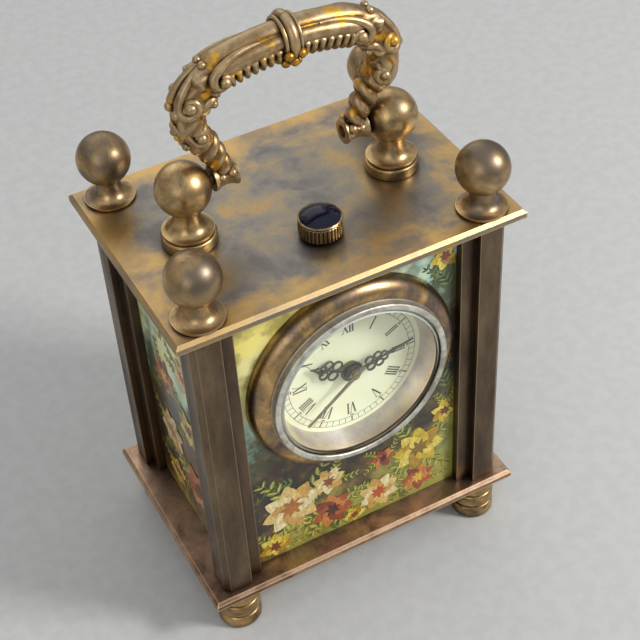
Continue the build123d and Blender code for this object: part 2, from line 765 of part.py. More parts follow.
# Centre wheel on its tube, with the pinion that the barrel drives.
centre_wheel_front = drum_back + 0.4
with BuildPart() as centre_wheel:
    with BuildSketch(facing(0, 0, plate_back + shake + 0.85)):
        toothed(centre_pinion_teeth, barrel_module, pinion_flank, barrel_angle + 180 / centre_pinion_teeth)
    extrude(amount=0.85)
    with BuildSketch(facing(0, 0, centre_wheel_front + wheel_thickness)):
        toothed(centre_teeth, centre_module, wheel_flank, third_angle)
    extrude(amount=wheel_thickness)
    tube_front = minute_hand_back - hand_thickness
    rod_round(0, 0, centre_tube, tube_front, centre_wheel_front + wheel_thickness + 0.1)
    rod_round(0, 0, centre_tube_bore, seconds_front, centre_wheel_front + 2, Mode.SUBTRACT)
save(centre_wheel, "centre_wheel")

# Third wheel
third_wheel_back = centre_wheel_front + wheel_thickness + 0.9
with BuildPart() as third_wheel:
    with BuildSketch(facing(third_x, third_z, third_wheel_back - wheel_thickness - 0.3)):
        gap_turn = third_angle + 180 + 180 / third_pinion_teeth
        toothed(third_pinion_teeth, centre_module, pinion_flank, gap_turn)
    extrude(amount=0.9)
    with BuildSketch(facing(third_x, third_z, third_wheel_back)):
        toothed(third_teeth, third_module, wheel_flank, third_angle + 180)
    extrude(amount=wheel_thickness)
    rod_round(third_x, third_z, arbor_radius, plate_back + shake, third_wheel_back)
    rod_round(third_x, third_z, pivot_radius, plate_back - 0.8, bridge_back - 0.1)
save(third_wheel, "third_wheel")

# Fourth wheel: its long arbor carries the seconds hand through the centre tube.
fourth_wheel_back = third_wheel_back + 0.9
with BuildPart() as fourth_wheel:
    with BuildSketch(facing(0, 0, third_wheel_back + 0.2)):
        toothed(fourth_pinion_teeth, third_module, pinion_flank, third_angle + 180 / fourth_pinion_teeth)
    extrude(amount=0.7)
    with BuildSketch(facing(0, 0, fourth_wheel_back)):
        toothed(fourth_teeth, fourth_module, wheel_flank, escape_angle)
    extrude(amount=wheel_thickness)
    rod_round(0, 0, arbor_radius, third_wheel_back, bridge_front - shake)
    rod_round(0, 0, seconds_arbor, seconds_front, bridge_back - 0.1)
save(fourth_wheel, "fourth_wheel")

# Escape wheel: fifteen leaning teeth, with its pinion at the fourth wheel.
escape_front = plate_back + 0.9
with BuildPart() as escape_wheel:
    with BuildSketch(facing(escape_x, escape_z, escape_front + 0.4)):
        tooth_pitch = 360 / escape_teeth
        outline([
            around(radius, tooth_pitch * (tooth + share))
            for tooth in range(escape_teeth)
            for share, radius in ((0.0, escape_radius), (0.12, escape_radius), (0.3, 1.45), (0.75, 1.45))
        ])
    extrude(amount=0.4)
    with BuildSketch(facing(escape_x, escape_z, fourth_wheel_back + 0.2)):
        gap_turn = escape_angle + 180 + 180 / escape_pinion_teeth
        toothed(escape_pinion_teeth, fourth_module, pinion_flank, gap_turn)
    extrude(amount=0.7)
    rod_round(escape_x, escape_z, pivot_radius, plate_back - 0.8, bridge_back - 0.1)
    rod_round(escape_x, escape_z, arbor_radius, plate_back + shake, escape_front + 0.8)
save(escape_wheel, "escape_wheel")

# Pallet fork: hub, tail with its slot, and arms with two pallet stones.
fork_front = escape_front
with BuildPart() as pallet_fork:
    with BuildSketch(facing(fork_x, fork_z, fork_front + 0.3, lever_angle)):
        Circle(0.45)
        with Locations((0.7, 0)):
            Rectangle(1.4, 0.35)
        with Locations((1.4, 0)):
            Rectangle(0.3, 0.9)
        with Locations((1.5, 0)):
            Rectangle(0.25, 0.35, mode=Mode.SUBTRACT)
        with Locations((-0.08, 0)):
            Rectangle(0.34, 2.6)
        with Locations((-0.36, 1.2), (-0.36, -1.2)):
            Rectangle(0.3, 0.28)
    extrude(amount=0.3)
    rod_round(fork_x, fork_z, 0.12, plate_back - 0.6, pallet_back - 0.05)
    rod_round(fork_x, fork_z, 0.25, plate_back + shake, pallet_front - shake)
save(pallet_fork, "pallet_fork")

# Balance: rim, two arms, staff and roller with its pin.
balance_front = pallet_back + 0.2
balance_thickness = 0.45
roller_front = pallet_front - 0.15
with BuildPart() as balance_wheel:
    with BuildSketch(facing(balance_x, balance_z, balance_front + balance_thickness, lever_angle)):
        Circle(balance_radius)
        Circle(balance_radius - 0.4, mode=Mode.SUBTRACT)
        Rectangle(0.5, 2 * balance_radius - 0.3)
        Circle(0.55)
    extrude(amount=balance_thickness)
    rod_round(balance_x, balance_z, 0.12, plate_back - 0.6, cock_back - 0.1)
    rod_round(balance_x, balance_z, 0.25, plate_back + shake, cock_front - shake)
    rod_round(balance_x, balance_z, 0.55, roller_front, roller_front + 0.2)
    pin_x, pin_z = around(0.42, lever_angle + 180, balance_x, balance_z)
    rod_round(pin_x, pin_z, 0.11, fork_front, roller_front + 0.2)
save(balance_wheel, "balance_wheel")

with BuildPart() as hairspring:
    with BuildSketch(facing(balance_x, balance_z, cock_front - 0.4)):
        spiral(0.5, 2.1, 5, 0.08)
    extrude(amount=0.25)
save(hairspring, "hairspring")

# Cannon pinion on the centre tube
cannon_back = plate_front - 0.15
motion_thickness = 0.4
with BuildPart() as cannon_pinion:
    with BuildSketch(facing(0, 0, cannon_back)):
        toothed(cannon_teeth, motion_module, pinion_flank, minute_angle + 180 / cannon_teeth)
    extrude(amount=0.75)
    rod_round(0, 0, cannon_pipe, tube_front - 0.05, cannon_back)
    rod_round(0, 0, centre_tube + 0.01, seconds_front, cannon_back + 1, Mode.SUBTRACT)
save(cannon_pinion, "cannon_pinion")

# Minute wheel and pinion on the plate's stud
minute_back = cannon_back - 0.2
hour_back = minute_back - motion_thickness - 0.8
with BuildPart() as minute_wheel:
    with BuildSketch(facing(minute_x, minute_z, minute_back)):
        toothed(minute_teeth, motion_module, wheel_flank, minute_angle + 180)
        Circle(arbor_radius + running, mode=Mode.SUBTRACT)
    extrude(amount=motion_thickness)
    with BuildSketch(facing(minute_x, minute_z, minute_back - motion_thickness)):
        gap_turn = minute_angle + 180 + 180 / minute_pinion_teeth
        toothed(minute_pinion_teeth, motion_module, pinion_flank, gap_turn)
        Circle(arbor_radius + running, mode=Mode.SUBTRACT)
    extrude(amount=1.25)
save(minute_wheel, "minute_wheel")

# Hour wheel with its pipe
with BuildPart() as hour_wheel:
    with BuildSketch(facing(0, 0, hour_back)):
        toothed(hour_teeth, motion_module, wheel_flank, minute_angle)
    extrude(amount=motion_thickness)
    rod_round(0, 0, hour_pipe, hour_hand_back - hand_thickness, hour_back)
    rod_round(0, 0, hour_pipe_bore, seconds_front, hour_back + 1, Mode.SUBTRACT)
save(hour_wheel, "hour_wheel")

# Hands: pierced hour and minute hands, plain tapered seconds hand.
with BuildPart() as hour_hand:
    with BuildSketch(facing(0, 0, hour_hand_back, 90 - hour_hand_angle)):
        Circle(1.5)
        with Locations((2.0, 0)):
            Rectangle(2.0, 0.5)
        with Locations((3.4, 0)):
            Circle(1.0)
        outline([(4.0, -0.75), (hour_hand_length, 0), (4.0, 0.75)])
        with Locations((3.4, 0)):
            Circle(0.6, mode=Mode.SUBTRACT)
        Circle(hour_pipe + 0.01, mode=Mode.SUBTRACT)
    extrude(amount=hand_thickness)
save(hour_hand, "hour_hand")

with BuildPart() as minute_hand:
    with BuildSketch(facing(0, 0, minute_hand_back, 90 - minute_hand_angle)):
        Circle(1.15)
        with Locations((2.0, 0)):
            Rectangle(2.4, 0.45)
        with Locations((3.8, 0)):
            Circle(0.85)
        outline([(4.3, -0.45), (minute_hand_length, 0), (4.3, 0.45)])
        with Locations((3.8, 0)):
            Circle(0.5, mode=Mode.SUBTRACT)
        Circle(cannon_pipe + 0.01, mode=Mode.SUBTRACT)
    extrude(amount=hand_thickness)
save(minute_hand, "minute_hand")

with BuildPart() as seconds_hand:
    with BuildSketch(facing(0, 0, seconds_hand_back, 90 - seconds_hand_angle)):
        Circle(0.9)
        outline([(-1.6, -0.3), (seconds_hand_length, -0.12), (seconds_hand_length, 0.12), (-1.6, 0.3)])
        Circle(seconds_arbor + 0.01, mode=Mode.SUBTRACT)
    extrude(amount=hand_thickness)
save(seconds_hand, "seconds_hand")

# Setting slide: block with a fork in the stem's groove, under a small cover.
groove_low = stem_foot + 1.15
groove_high = groove_low + 0.5
groove_radius = 0.35
with BuildPart() as setting_slide:
    with Locations((0, plate_front + 0.325, groove_low - 0.05)):
        Box(2.2, 0.55, 1.8)
    with Locations((0, (plate_front + 0.6 + crown_y + 0.2) / 2, (groove_low + groove_high) / 2)):
        Box(2.2, crown_y + 0.2 - plate_front - 0.6, groove_high - groove_low - 2 * running)
    with Locations((0, crown_y + 0.2, (groove_low + groove_high) / 2)):
        Box(2 * (groove_radius + running), 1.2, 1, mode=Mode.SUBTRACT)
save(setting_slide, "setting_slide")

with BuildPart() as setting_cover:
    with Locations((0.5, plate_front - 0.2, dial_height + 3.9)):
        Box(3.4, 0.4, 2.4)
    rod_round(cover_screw_x, cover_screw_z, 0.3 + fit, plate_front - 1, plate_front + 1, Mode.SUBTRACT)
save(setting_cover, "setting_cover")

with BuildPart() as cover_screw:
    rod_round(cover_screw_x, cover_screw_z, 0.3, plate_front - 0.4, plate_front + 1)
    rod_round(cover_screw_x, cover_screw_z, 0.5, plate_front - 0.4, plate_front - 0.65)
save(cover_screw, "cover_screw")

# Winding stem: pilot, groove and shank, screwed into the crown.
stem_top = top_face + 1.5
with BuildPart() as winding_stem:
    turn_up(0, crown_y, [
        (0, pilot_end),
        (pilot_radius, pilot_end),
        (pilot_radius, stem_foot),
        (stem_radius, stem_foot),
        (stem_radius, groove_low),
        (groove_radius, groove_low),
        (groove_radius, groove_high),
        (stem_radius, groove_high),
        (stem_radius, stem_top),
        (0, stem_top),
    ])
save(winding_stem, "winding_stem")

with BuildPart() as winding_pinion:
    with BuildSketch(Plane(origin=(0, crown_y, pinion_pocket[0] + 0.1), x_dir=(1, 0, 0), z_dir=(0, 0, 1))):
        toothed(12, 2 * pinion_radius / 13.2, pinion_flank, 15)
        Circle(stem_radius + 0.01, mode=Mode.SUBTRACT)
    extrude(amount=1.4)
save(winding_pinion, "winding_pinion")

# Tube in the top plate that guides the stem
with BuildPart() as stem_tube:
    turn_up(0, crown_y, [
        (stem_radius + running, top_under - 0.8),
        (tube_radius, top_under - 0.8),
        (tube_radius, top_face + 0.1),
        (stem_radius + running, top_face + 0.1),
    ])
save(stem_tube, "stem_tube")

# Crown: notched round its side, with a smooth rim and a cup for the stone.
crown_bottom = top_face + crown_gap
crown_top = crown_bottom + crown_height
with BuildPart() as crown:
    with BuildSketch(Plane(origin=(0, crown_y, crown_bottom), x_dir=(1, 0, 0), z_dir=(0, 0, 1))):
        pitch = 360 / crown_notches
        outline([
            around(radius, pitch * (notch + share))
            for notch in range(crown_notches)
            for share, radius in ((-0.28, crown_radius), (0.28, crown_radius), (0.5, crown_radius - 0.25))
        ])
    extrude(amount=crown_height - 0.3)
    turn_up(0, crown_y, [
        (0, crown_top - 0.3),
        (crown_radius, crown_top - 0.3),
        (crown_radius, crown_top),
        (stone_radius + fit, crown_top),
        (stone_radius + fit, crown_top - 0.25),
        (0, crown_top - 0.25),
    ])
    turn_up(0, crown_y, [
        (0, crown_bottom - 1),
        (stem_radius + 0.01, crown_bottom - 1),
        (stem_radius + 0.01, stem_top + 0.05),
        (0, stem_top + 0.05),
    ], Mode.SUBTRACT)
save(crown, "crown")

# Stone: polished dome set in the crown's cup.
dome_radius = (stone_radius**2 + stone_rise**2) / (2 * stone_rise)
dome_drop = dome_radius - (dome_radius**2 - stone_radius**2 / 4) ** 0.5
dome_shoulder = (stone_radius / 2, crown_top + stone_rise - dome_drop)
with BuildPart() as cabochon:
    with BuildSketch(Plane(origin=(0, crown_y, 0), x_dir=(1, 0, 0), z_dir=(0, -1, 0))):
        with BuildLine():
            Line((0, crown_top - 0.25), (stone_radius, crown_top - 0.25))
            Line((stone_radius, crown_top - 0.25), (stone_radius, crown_top))
            ThreePointArc((stone_radius, crown_top), dome_shoulder, (0, crown_top + stone_rise))
            Line((0, crown_top + stone_rise), (0, crown_top - 0.25))
        make_face()
    revolve(axis=Axis((0, crown_y, 0), (0, 0, 1)))
save(cabochon, "cabochon")
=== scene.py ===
import random
from bisect import bisect
from functools import partial
import bmesh
import bpy
from math import atan2, cos, hypot, pi, radians, sin
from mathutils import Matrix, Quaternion, Vector


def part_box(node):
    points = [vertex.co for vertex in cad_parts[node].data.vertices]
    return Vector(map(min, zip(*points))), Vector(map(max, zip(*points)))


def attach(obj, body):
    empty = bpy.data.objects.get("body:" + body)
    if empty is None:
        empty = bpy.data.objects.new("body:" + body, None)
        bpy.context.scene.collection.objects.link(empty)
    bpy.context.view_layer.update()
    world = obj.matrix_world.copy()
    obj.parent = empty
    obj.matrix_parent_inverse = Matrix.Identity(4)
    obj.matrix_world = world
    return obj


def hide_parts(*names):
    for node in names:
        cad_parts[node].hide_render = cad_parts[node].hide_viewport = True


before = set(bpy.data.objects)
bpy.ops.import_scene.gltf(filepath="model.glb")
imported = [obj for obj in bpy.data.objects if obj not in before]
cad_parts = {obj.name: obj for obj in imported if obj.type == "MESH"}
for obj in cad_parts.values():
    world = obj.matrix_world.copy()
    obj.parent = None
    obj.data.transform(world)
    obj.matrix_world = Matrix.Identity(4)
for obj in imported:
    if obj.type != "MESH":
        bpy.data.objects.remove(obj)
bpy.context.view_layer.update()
MM = 0.001


# Top plate: a sheet of rolled brass, sawn to size and bevelled round the upper edge.
# The old lacquer has let it tarnish in grey and tan clouds; the bevel is rubbed back to gold.
def linear(colour):
    """sRGB hex to the linear values that Blender works in."""
    channels = [int(colour[i:i + 2], 16) / 255 for i in (1, 3, 5)]
    curve = [c / 12.92 if c <= 0.04045 else ((c + 0.055) / 1.055) ** 2.4 for c in channels]
    return (*curve, 1.0)


def add(tree, kind, sockets=(), stops=None, **settings):
    """Adds a node: sockets are linked or set, stops fill a colour ramp, settings are its options.

    Sockets are a list in the node's order (for MapRange a value, its range and the new range)
    or go by name or number (for Mix a share at 0, colours at 6 and 7). A node that is given to
    a socket stands for its first output in use.
    """
    node = tree.nodes.new("ShaderNode" + kind)
    for name, value in settings.items():
        setattr(node, name, value)
    for name, value in sockets.items() if isinstance(sockets, dict) else enumerate(sockets):
        if isinstance(value, bpy.types.Node):
            value = next(output for output in value.outputs if output.enabled)
        if isinstance(value, bpy.types.NodeSocket):
            tree.links.new(value, node.inputs[name])
        else:
            node.inputs[name].default_value = value
    if stops:
        band = node.color_ramp.elements
        band.remove(band[1])
        band[0].position, band[0].color = stops[0][0], linear(stops[0][1])
        for place, colour in stops[1:]:
            band.new(place).color = linear(colour)
    return node


def new_material(name):
    """Material, the function that adds its nodes, and the piece's own place in millimetres."""
    material = bpy.data.materials.new(name)
    material.use_nodes = True
    material.node_tree.nodes.clear()
    node = partial(add, material.node_tree)
    in_metres = node("TexCoord").outputs["Object"]
    in_mm = node("VectorMath", [in_metres, (1 / MM,) * 3], operation="MULTIPLY")
    return material, node, in_mm


def close(material, shader):
    """Ends a material with its shader."""
    add(material.node_tree, "OutputMaterial", {"Surface": shader})


def tarnished_brass(
    name, tones, edge, blotch, rough, grain, stretch=(1, 1, 1),
    edge_width=0.3, painted_shade=0.6, spread=0.12, swirl=0.7, outline=None,
):
    """Old lacquered brass: cloudy tarnish, rubbed edges, fine brushing and painted shade in
    corners.
    """
    material, node, in_mm = new_material(name)
    true_normal = node("NewGeometry").outputs["Normal"]
    drawn = node("VectorMath", [in_mm, stretch], operation="MULTIPLY")
    cloud = node("TexNoise", {
        "Vector": drawn, "Scale": 1 / blotch, "Detail": 7, "Roughness": 0.6, "Distortion": swirl,
    })
    places = [0.5 + spread * step for step in (-1, -0.33, 0.33, 1)]
    tone = node("ValToRGB", {"Fac": cloud}, stops=list(zip(places, tones)))
    # Specks of tarnish about half a millimetre across
    speck = node("TexNoise", {"Vector": drawn, "Scale": 2.2, "Detail": 5, "Roughness": 0.7})
    speck_mask = node("MapRange", [speck, 0.5, 0.72, 0.0, 0.55])
    dirty = node("Mix", {0: speck_mask, 6: tone, 7: linear(tones[3])}, data_type="RGBA")
    if outline:
        # A plate keeps more gold in a ragged band, some three millimetres wide, inside its outline
        away = node("VectorMath", [in_mm], operation="ABSOLUTE")
        inward = node("VectorMath", [outline, away], operation="SUBTRACT")
        sides = node("SeparateXYZ", [inward]).outputs
        nearest = node("Math", [sides["X"], sides["Y"]], operation="MINIMUM")
        ragged = node("MapRange", [cloud, 0.4, 0.6, 3.0, -1.0])
        reach = node("Math", [nearest, ragged], operation="SUBTRACT")
        band = node("MapRange", [reach, -1.0, 5.0, 0.7, 0.0])
        facing = node("SeparateXYZ", [true_normal]).outputs["Z"]
        upper = node("Math", [band, facing], operation="MULTIPLY", use_clamp=True)
        dirty = node("Mix", {0: upper, 6: dirty, 7: linear(edge)}, data_type="RGBA")
    # Rubbed edges: where a rounded normal leaves the true one
    round_normal = node("Bevel", {"Radius": edge_width * MM}, samples=6)
    same = node("VectorMath", [round_normal, true_normal], operation="DOT_PRODUCT")
    worn = node("MapRange", [same, 0.99, 0.88, 0.0, 1.0])
    rubbed = node("Mix", {0: worn, 6: dirty, 7: linear(edge)}, data_type="RGBA")
    # Painted shade: ambient occlusion darkens the colour where pieces meet
    corner = node("AmbientOcclusion", {"Distance": 1.6 * MM}, samples=6).outputs["AO"]
    shade = node("MapRange", [corner, 0.35, 0.9, 1.0 - painted_shade, 1.0])
    colour = node("Mix", {0: 1.0, 6: rubbed, 7: shade}, data_type="RGBA", blend_type="MULTIPLY")
    # Brushing lines, drawn ten times coarser than the real ones so that they show
    lines = node("VectorMath", [in_mm, grain], operation="MULTIPLY")
    brushing = node("TexNoise", {"Vector": lines, "Scale": 3.0, "Detail": 3, "Roughness": 0.6})
    rise = node("Bump", {"Strength": 0.12, "Distance": 0.05 * MM, "Height": brushing})
    dull = node("MapRange", [cloud, 0.38, 0.64, rough[0], rough[1]])
    close(material, node("BsdfPrincipled", {
        "Base Color": colour, "Metallic": 1.0, "Roughness": dull, "Normal": rise,
    }))
    return material


def coat(material, *names):
    """Gives CAD nodes, or pieces made here, one material all over."""
    for name in names:
        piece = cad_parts.get(name) or bpy.data.objects[name]
        slots = piece.data.materials
        if not slots:
            slots.append(material)
        for place in range(len(slots)):
            slots[place] = material


coat(tarnished_brass(
    "rolled_brass_top", ("#b09468", "#9e9078", "#8f8980", "#807b75"), "#dcb26a",
    blotch=6.0, rough=(0.36, 0.48), grain=(0.3, 2.0, 1.0), spread=0.15, swirl=0.3,
    outline=tuple(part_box("top_plate")[1] / MM),
), "top_plate")


# Bottom plate: the same rolled brass, wider than the columns on every side.
# It has turned a rosy brown; painted shade darkens it against the panels and columns.
coat(tarnished_brass(
    "rolled_brass_bottom", ("#bfa083", "#ae9079", "#987b69", "#775e4f"), "#ecc896",
    blotch=5.0, rough=(0.34, 0.5), grain=(0.3, 2.0, 1.0), edge_width=0.4,
), "bottom_plate")


# Columns: four drawn brass strips, stepped outside and rebated inside, held upright by rods.
# Their bronze colour is darker than the plates', with long streaks from the drawing.
coat(tarnished_brass(
    "drawn_bronze_column", ("#857059", "#75634f", "#665647", "#54473c"), "#b39a74",
    blotch=4.0, rough=(0.32, 0.46), grain=(4.0, 4.0, 0.12), stretch=(1.0, 1.0, 0.3),
    edge_width=0.25, painted_shade=0.8, spread=0.18, swirl=0.1,
), "column_front_left", "column_front_right", "column_back_left", "column_back_right")


# Feet: turned brass, each of three rounded rings, screwed on the lower ends of the rods.
# The rings are golden brown where the light catches them; painted shade darkens the grooves.
def arc(centre, radius, start, end, steps):
    """Points of an arc in radius and height, angles in degrees."""
    turns = [radians(start + (end - start) * n / steps) for n in range(steps + 1)]
    return [(centre[0] + radius * cos(turn), centre[1] + radius * sin(turn)) for turn in turns]


def turned(form, profile, place, axis="Z", steps=72, shades=None):
    """Adds a turned shape: profile of radius and distance, in millimetres."""
    rings = []
    for radius, along in profile:
        ring = []
        for n in range(1 if radius == 0 else steps):
            turn = 2 * pi * n / steps
            spot = [radius * cos(turn), radius * sin(turn)]
            spot.insert("XYZ".index(axis), along)
            ring.append(form.verts.new((Vector(spot) + Vector(place)) * MM))
        rings.append(ring)
    for row, pair in enumerate(zip(rings, rings[1:])):
        for n in range(steps):
            (a, b), (c, d) = [(ring[n % len(ring)], ring[(n + 1) % len(ring)]) for ring in pair]
            face = form.faces.new(dict.fromkeys((a, b, d, c)))
            face.material_index = shades[row] if shades else 0
    return [vertex for ring in rings for vertex in ring]


def stand(name, data):
    """Puts a mesh, lamp or camera in the scene."""
    thing = bpy.data.objects.new(name, data)
    bpy.context.scene.collection.objects.link(thing)
    return thing


def show(form, name, body, slot_name, *replaced, sharp=35):
    """Ends the mesh in work as a piece on a body, smooth but for edges over the sharp angle."""
    bmesh.ops.recalc_face_normals(form, faces=form.faces)
    for face in form.faces:
        face.smooth = True
    for edge in form.edges:
        if len(edge.link_faces) == 2 and edge.calc_face_angle(0) > radians(sharp):
            edge.smooth = False
    mesh = bpy.data.meshes.new(name)
    form.to_mesh(mesh)
    form.free()
    piece = stand(name, mesh)
    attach(piece, body)
    if replaced:
        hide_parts(*replaced)
    return piece


rod_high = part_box("tie_rods")[1] / MM
rod_radius = 1.1
corner_x = rod_high.x - rod_radius
corner_y = rod_high.y - rod_radius
corners = [(x, y) for x in (-corner_x, corner_x) for y in (-corner_y, corner_y)]
feet_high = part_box("feet")[1] / MM
foot_radius = feet_high.x - corner_x
foot_height = feet_high.z
ring_height = foot_height / 3
ring_edge, groove = 0.45, 0.5
profile = [(0, 0)]
for ring in range(3):
    low, high = ring * ring_height, (ring + 1) * ring_height
    profile += arc((foot_radius - ring_edge, low + groove), ring_edge, -90, 0, 5)
    profile += arc((foot_radius - ring_edge, high - groove), ring_edge, 0, 90, 5)
    profile += [(foot_radius - groove, high)]
profile += [(0, foot_height)]
form = bmesh.new()
for x, y in corners:
    turned(form, profile, (x, y, 0))
show(form, "turned_feet", "case", "antique_brass", "feet")
coat(tarnished_brass(
    "turned_brass_feet", ("#cdaa72", "#b99664", "#9c7e57", "#6e5b49"), "#e8c080",
    blotch=3.0, rough=(0.26, 0.42), grain=(0.4, 0.4, 5.0), painted_shade=0.75,
), "turned_feet")


# Ball finials: flared skirt, neck and ball turned in one, screwed on the rods' upper ends.
# The balls are brown and softly bright, the skirts polished by handling.
def flare(foot, radius, neck, height):
    """Outline of a skirt that sweeps in from its rim to the neck."""
    chamfer, rim, start = 0.12, 0.38, 0.42
    outline = [(radius - chamfer, foot), (radius, foot + chamfer), (radius, foot + rim)]
    for n in range(1, 11):
        share = n * pi / 20
        outline.append((
            radius - (radius - neck) * sin(share) ** 0.85,
            foot + start + (height - start) * (1 - cos(share)),
        ))
    return outline


def ball_on_neck(neck, radius, middle):
    """Outline of a ball from the neck that carries it up to its top."""
    start = -90 + 180 / pi * atan2(neck, (radius**2 - neck**2) ** 0.5)
    return arc((0, middle), radius, start, 90, 30)[:-1] + [(0, middle + radius)]


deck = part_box("top_plate")[1].z / MM
finial_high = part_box("finials")[1] / MM
ball_radius = finial_high.x - corner_x
ball_height = finial_high.z - deck - ball_radius
skirt_radius, skirt_neck, skirt_height = 3.1, 1.5, 2.35
profile = [(0, 0)] + flare(0, skirt_radius, skirt_neck, skirt_height)
profile += ball_on_neck(skirt_neck, ball_radius, ball_height)
form = bmesh.new()
for x, y in corners:
    turned(form, profile, (x, y, deck))
show(form, "ball_finials", "case", "antique_brass", "finials")
coat(tarnished_brass(
    "turned_brass_finials", ("#c8a674", "#b09268", "#998262", "#7c6e5e"), "#e8c088",
    blotch=5.0, rough=(0.3, 0.42), grain=(0.4, 0.4, 5.0), edge_width=0.2,
), "ball_finials")


# Handle posts: a thick disc, skirt and ball turned in one, with a stud through the top plate.
# They are more golden than the finials; each ball is bored across for the handle's brass pin.
post_ball = 3.3
post_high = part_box("handle_post_right")[1] / MM
post_x = post_high.x - post_ball
pivot = post_high.z - post_ball
disc_radius, disc_height, disc_chamfer, disc_edge = 3.3, 1.55, 0.08, 0.35
post_skirt, post_neck, post_skirt_height = 3.1, 1.6, 2.75
stud_radius, stud_depth = 0.9, 3.4
profile = [
    (0, 0), (disc_radius - disc_chamfer, 0), (disc_radius, disc_chamfer),
    (disc_radius, disc_height - 0.5),
]
profile += arc((disc_radius - disc_edge, disc_height - 0.45), disc_edge, 0, 75, 5)
profile += [(disc_radius - 0.45, disc_height - disc_chamfer)]
profile += flare(disc_height, post_skirt, post_neck, post_skirt_height)
profile += ball_on_neck(post_neck, post_ball, pivot - deck)
stud_profile = [(0, -stud_depth), (stud_radius, -stud_depth), (stud_radius, 0), (0, 0)]
post_brass = tarnished_brass(
    "turned_brass_posts", ("#d8b984", "#c7a774", "#ac9166", "#87745a"), "#f0cc8c",
    blotch=4.0, rough=(0.28, 0.4), grain=(0.4, 0.4, 5.0), edge_width=0.2,
)
for side, name in ((-1, "left"), (1, "right")):
    form = bmesh.new()
    turned(form, profile, (side * post_x, 0, deck))
    turned(form, stud_profile, (side * post_x, 0, deck), steps=24)
    show(form, "post_" + name, "case", "antique_brass", "handle_post_" + name)
    coat(post_brass, "post_" + name)
coat(post_brass, "handle_pins")


# Bezel: a spun brass ring with a rounded shoulder and a raised lip that holds the glass.
# The shoulder is brown and gold; the lip has worn through to pale nickel.
axis_height = ((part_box("bezel")[0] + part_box("bezel")[1]) / 2 / MM).z
bezel_low, bezel_high = [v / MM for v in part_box("bezel")]
bezel_radius = bezel_high.x
front = bezel_low.y
panel_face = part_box("front_panel")[0].y / MM
lip, bore, lip_height, seat = 11.8, 11.0, 1.0, 0.25
inner_round, outer_round = 0.2, 0.22
shoulder = lip + 0.12
foot_of_lip = front + lip_height
profile = [(bore, bezel_high.y), (bore, front + outer_round)]
profile += arc((bore + inner_round, front + inner_round), inner_round, 180, 270, 4)
profile += arc((lip - outer_round, front + outer_round), outer_round, 270, 360, 4)
profile += [(lip + 0.04, foot_of_lip - 0.15), (shoulder, foot_of_lip)]
lip_rows = len(profile) - 1
for n in range(1, 15):
    share = n * pi / 28
    profile.append((
        shoulder + (bezel_radius - shoulder) * sin(share),
        foot_of_lip + (panel_face - seat - foot_of_lip) * (1 - cos(share)),
    ))
profile += [(bezel_radius, panel_face), (bore + seat, panel_face)]
profile += [(bore + seat, bezel_high.y), (bore, bezel_high.y)]
form = bmesh.new()
shades = [0] + [1] * (lip_rows - 1) + [0] * (len(profile) - lip_rows - 1)
turned(form, profile, (0, 0, axis_height), axis="Y", steps=144, shades=shades)
spun = show(form, "spun_bezel", "case", "bezel_brass", "bezel")
coat(tarnished_brass(
    "spun_brass_bezel", ("#dcb678", "#b99868", "#977f66", "#71625a"), "#ecc890",
    blotch=5.5, rough=(0.25, 0.4), grain=(1.0, 4.0, 1.0), edge_width=0.2,
), "spun_bezel")
nickel = tarnished_brass(
    "worn_nickel_lip", ("#efeadb", "#e4e1d4", "#d3d0c4", "#b3aea2"), "#fbf6e6",
    blotch=3.0, rough=(0.4, 0.52), grain=(1.0, 4.0, 1.0), edge_width=0.15, painted_shade=0.3,
)
spun.data.materials.append(nickel)


# Glass: a thick flat crystal with a ground bevel, pressed into the bezel's lip.
# Polished soda-lime glass, clear, with the usual faint green where it is ground.
glass_low, glass_high = [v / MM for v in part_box("crystal")]
glass_radius, bevel = glass_high.x, 0.42
profile = [
    (0, glass_low.y), (glass_radius - bevel, glass_low.y), (glass_radius, glass_low.y + bevel),
    (glass_radius, glass_high.y), (0, glass_high.y),
]
form = bmesh.new()
turned(form, profile, (0, 0, axis_height), axis="Y", steps=128, shades=[0, 1, 1, 0])
crystal = show(form, "flat_crystal", "case", "crystal_glass", "crystal", sharp=20)
for name, colour, rough, through in (
    ("polished_glass", "#fbfdfb", 0.0, 1.0),
    ("ground_glass", "#e6ebe0", 0.45, 0.3),
):
    glass, node, in_mm = new_material(name)
    # Dust and fine scratches dull the polish a little
    film = node("TexNoise", {"Vector": in_mm, "Scale": 0.7, "Detail": 6, "Roughness": 0.7})
    haze = node("MapRange", [film, 0.4, 0.75, rough, rough + 0.06])
    lens = node("BsdfPrincipled", {
        "Base Color": linear(colour), "Roughness": haze, "IOR": 1.5, "Transmission Weight": through,
    })
    # Lamps shine straight through to the dial
    clear = node("BsdfTransparent", {"Color": linear("#f6faf6")})
    shadow = node("LightPath").outputs["Is Shadow Ray"]
    close(glass, node("MixShader", [shadow, lens, clear]))
    crystal.data.materials.append(glass)


# Inner ring: a pressed cone between glass and dial, silvered and turned in fine circles.
# The silver has gone mauve-grey, and gold shows toward its outer edge.
silvered, node, in_mm = new_material("silvered_ring")
from_axis = node("VectorMath", [in_mm, (0, 0, -axis_height)], operation="ADD")
cloud = node("TexNoise", {"Vector": from_axis, "Scale": 0.4, "Detail": 5, "Roughness": 0.6})
silver_stops = [(0.35, "#beb2b8"), (0.5, "#d0c6c8"), (0.65, "#e0d4c0")]
tone = node("ValToRGB", {"Fac": cloud}, stops=silver_stops)
flattened = node("VectorMath", [from_axis, (1, 0, 1)], operation="MULTIPLY")
radius = node("VectorMath", [flattened], operation="LENGTH")
gold_spread = node("MapRange", [radius, 10.2, 10.8, 0.0, 0.8])
tone = node("Mix", {0: gold_spread, 6: tone, 7: linear("#dcae68")}, data_type="RGBA")
circles = node(
    "TexWave", {"Vector": from_axis, "Scale": 1.6}, wave_type="RINGS", rings_direction="Y"
)
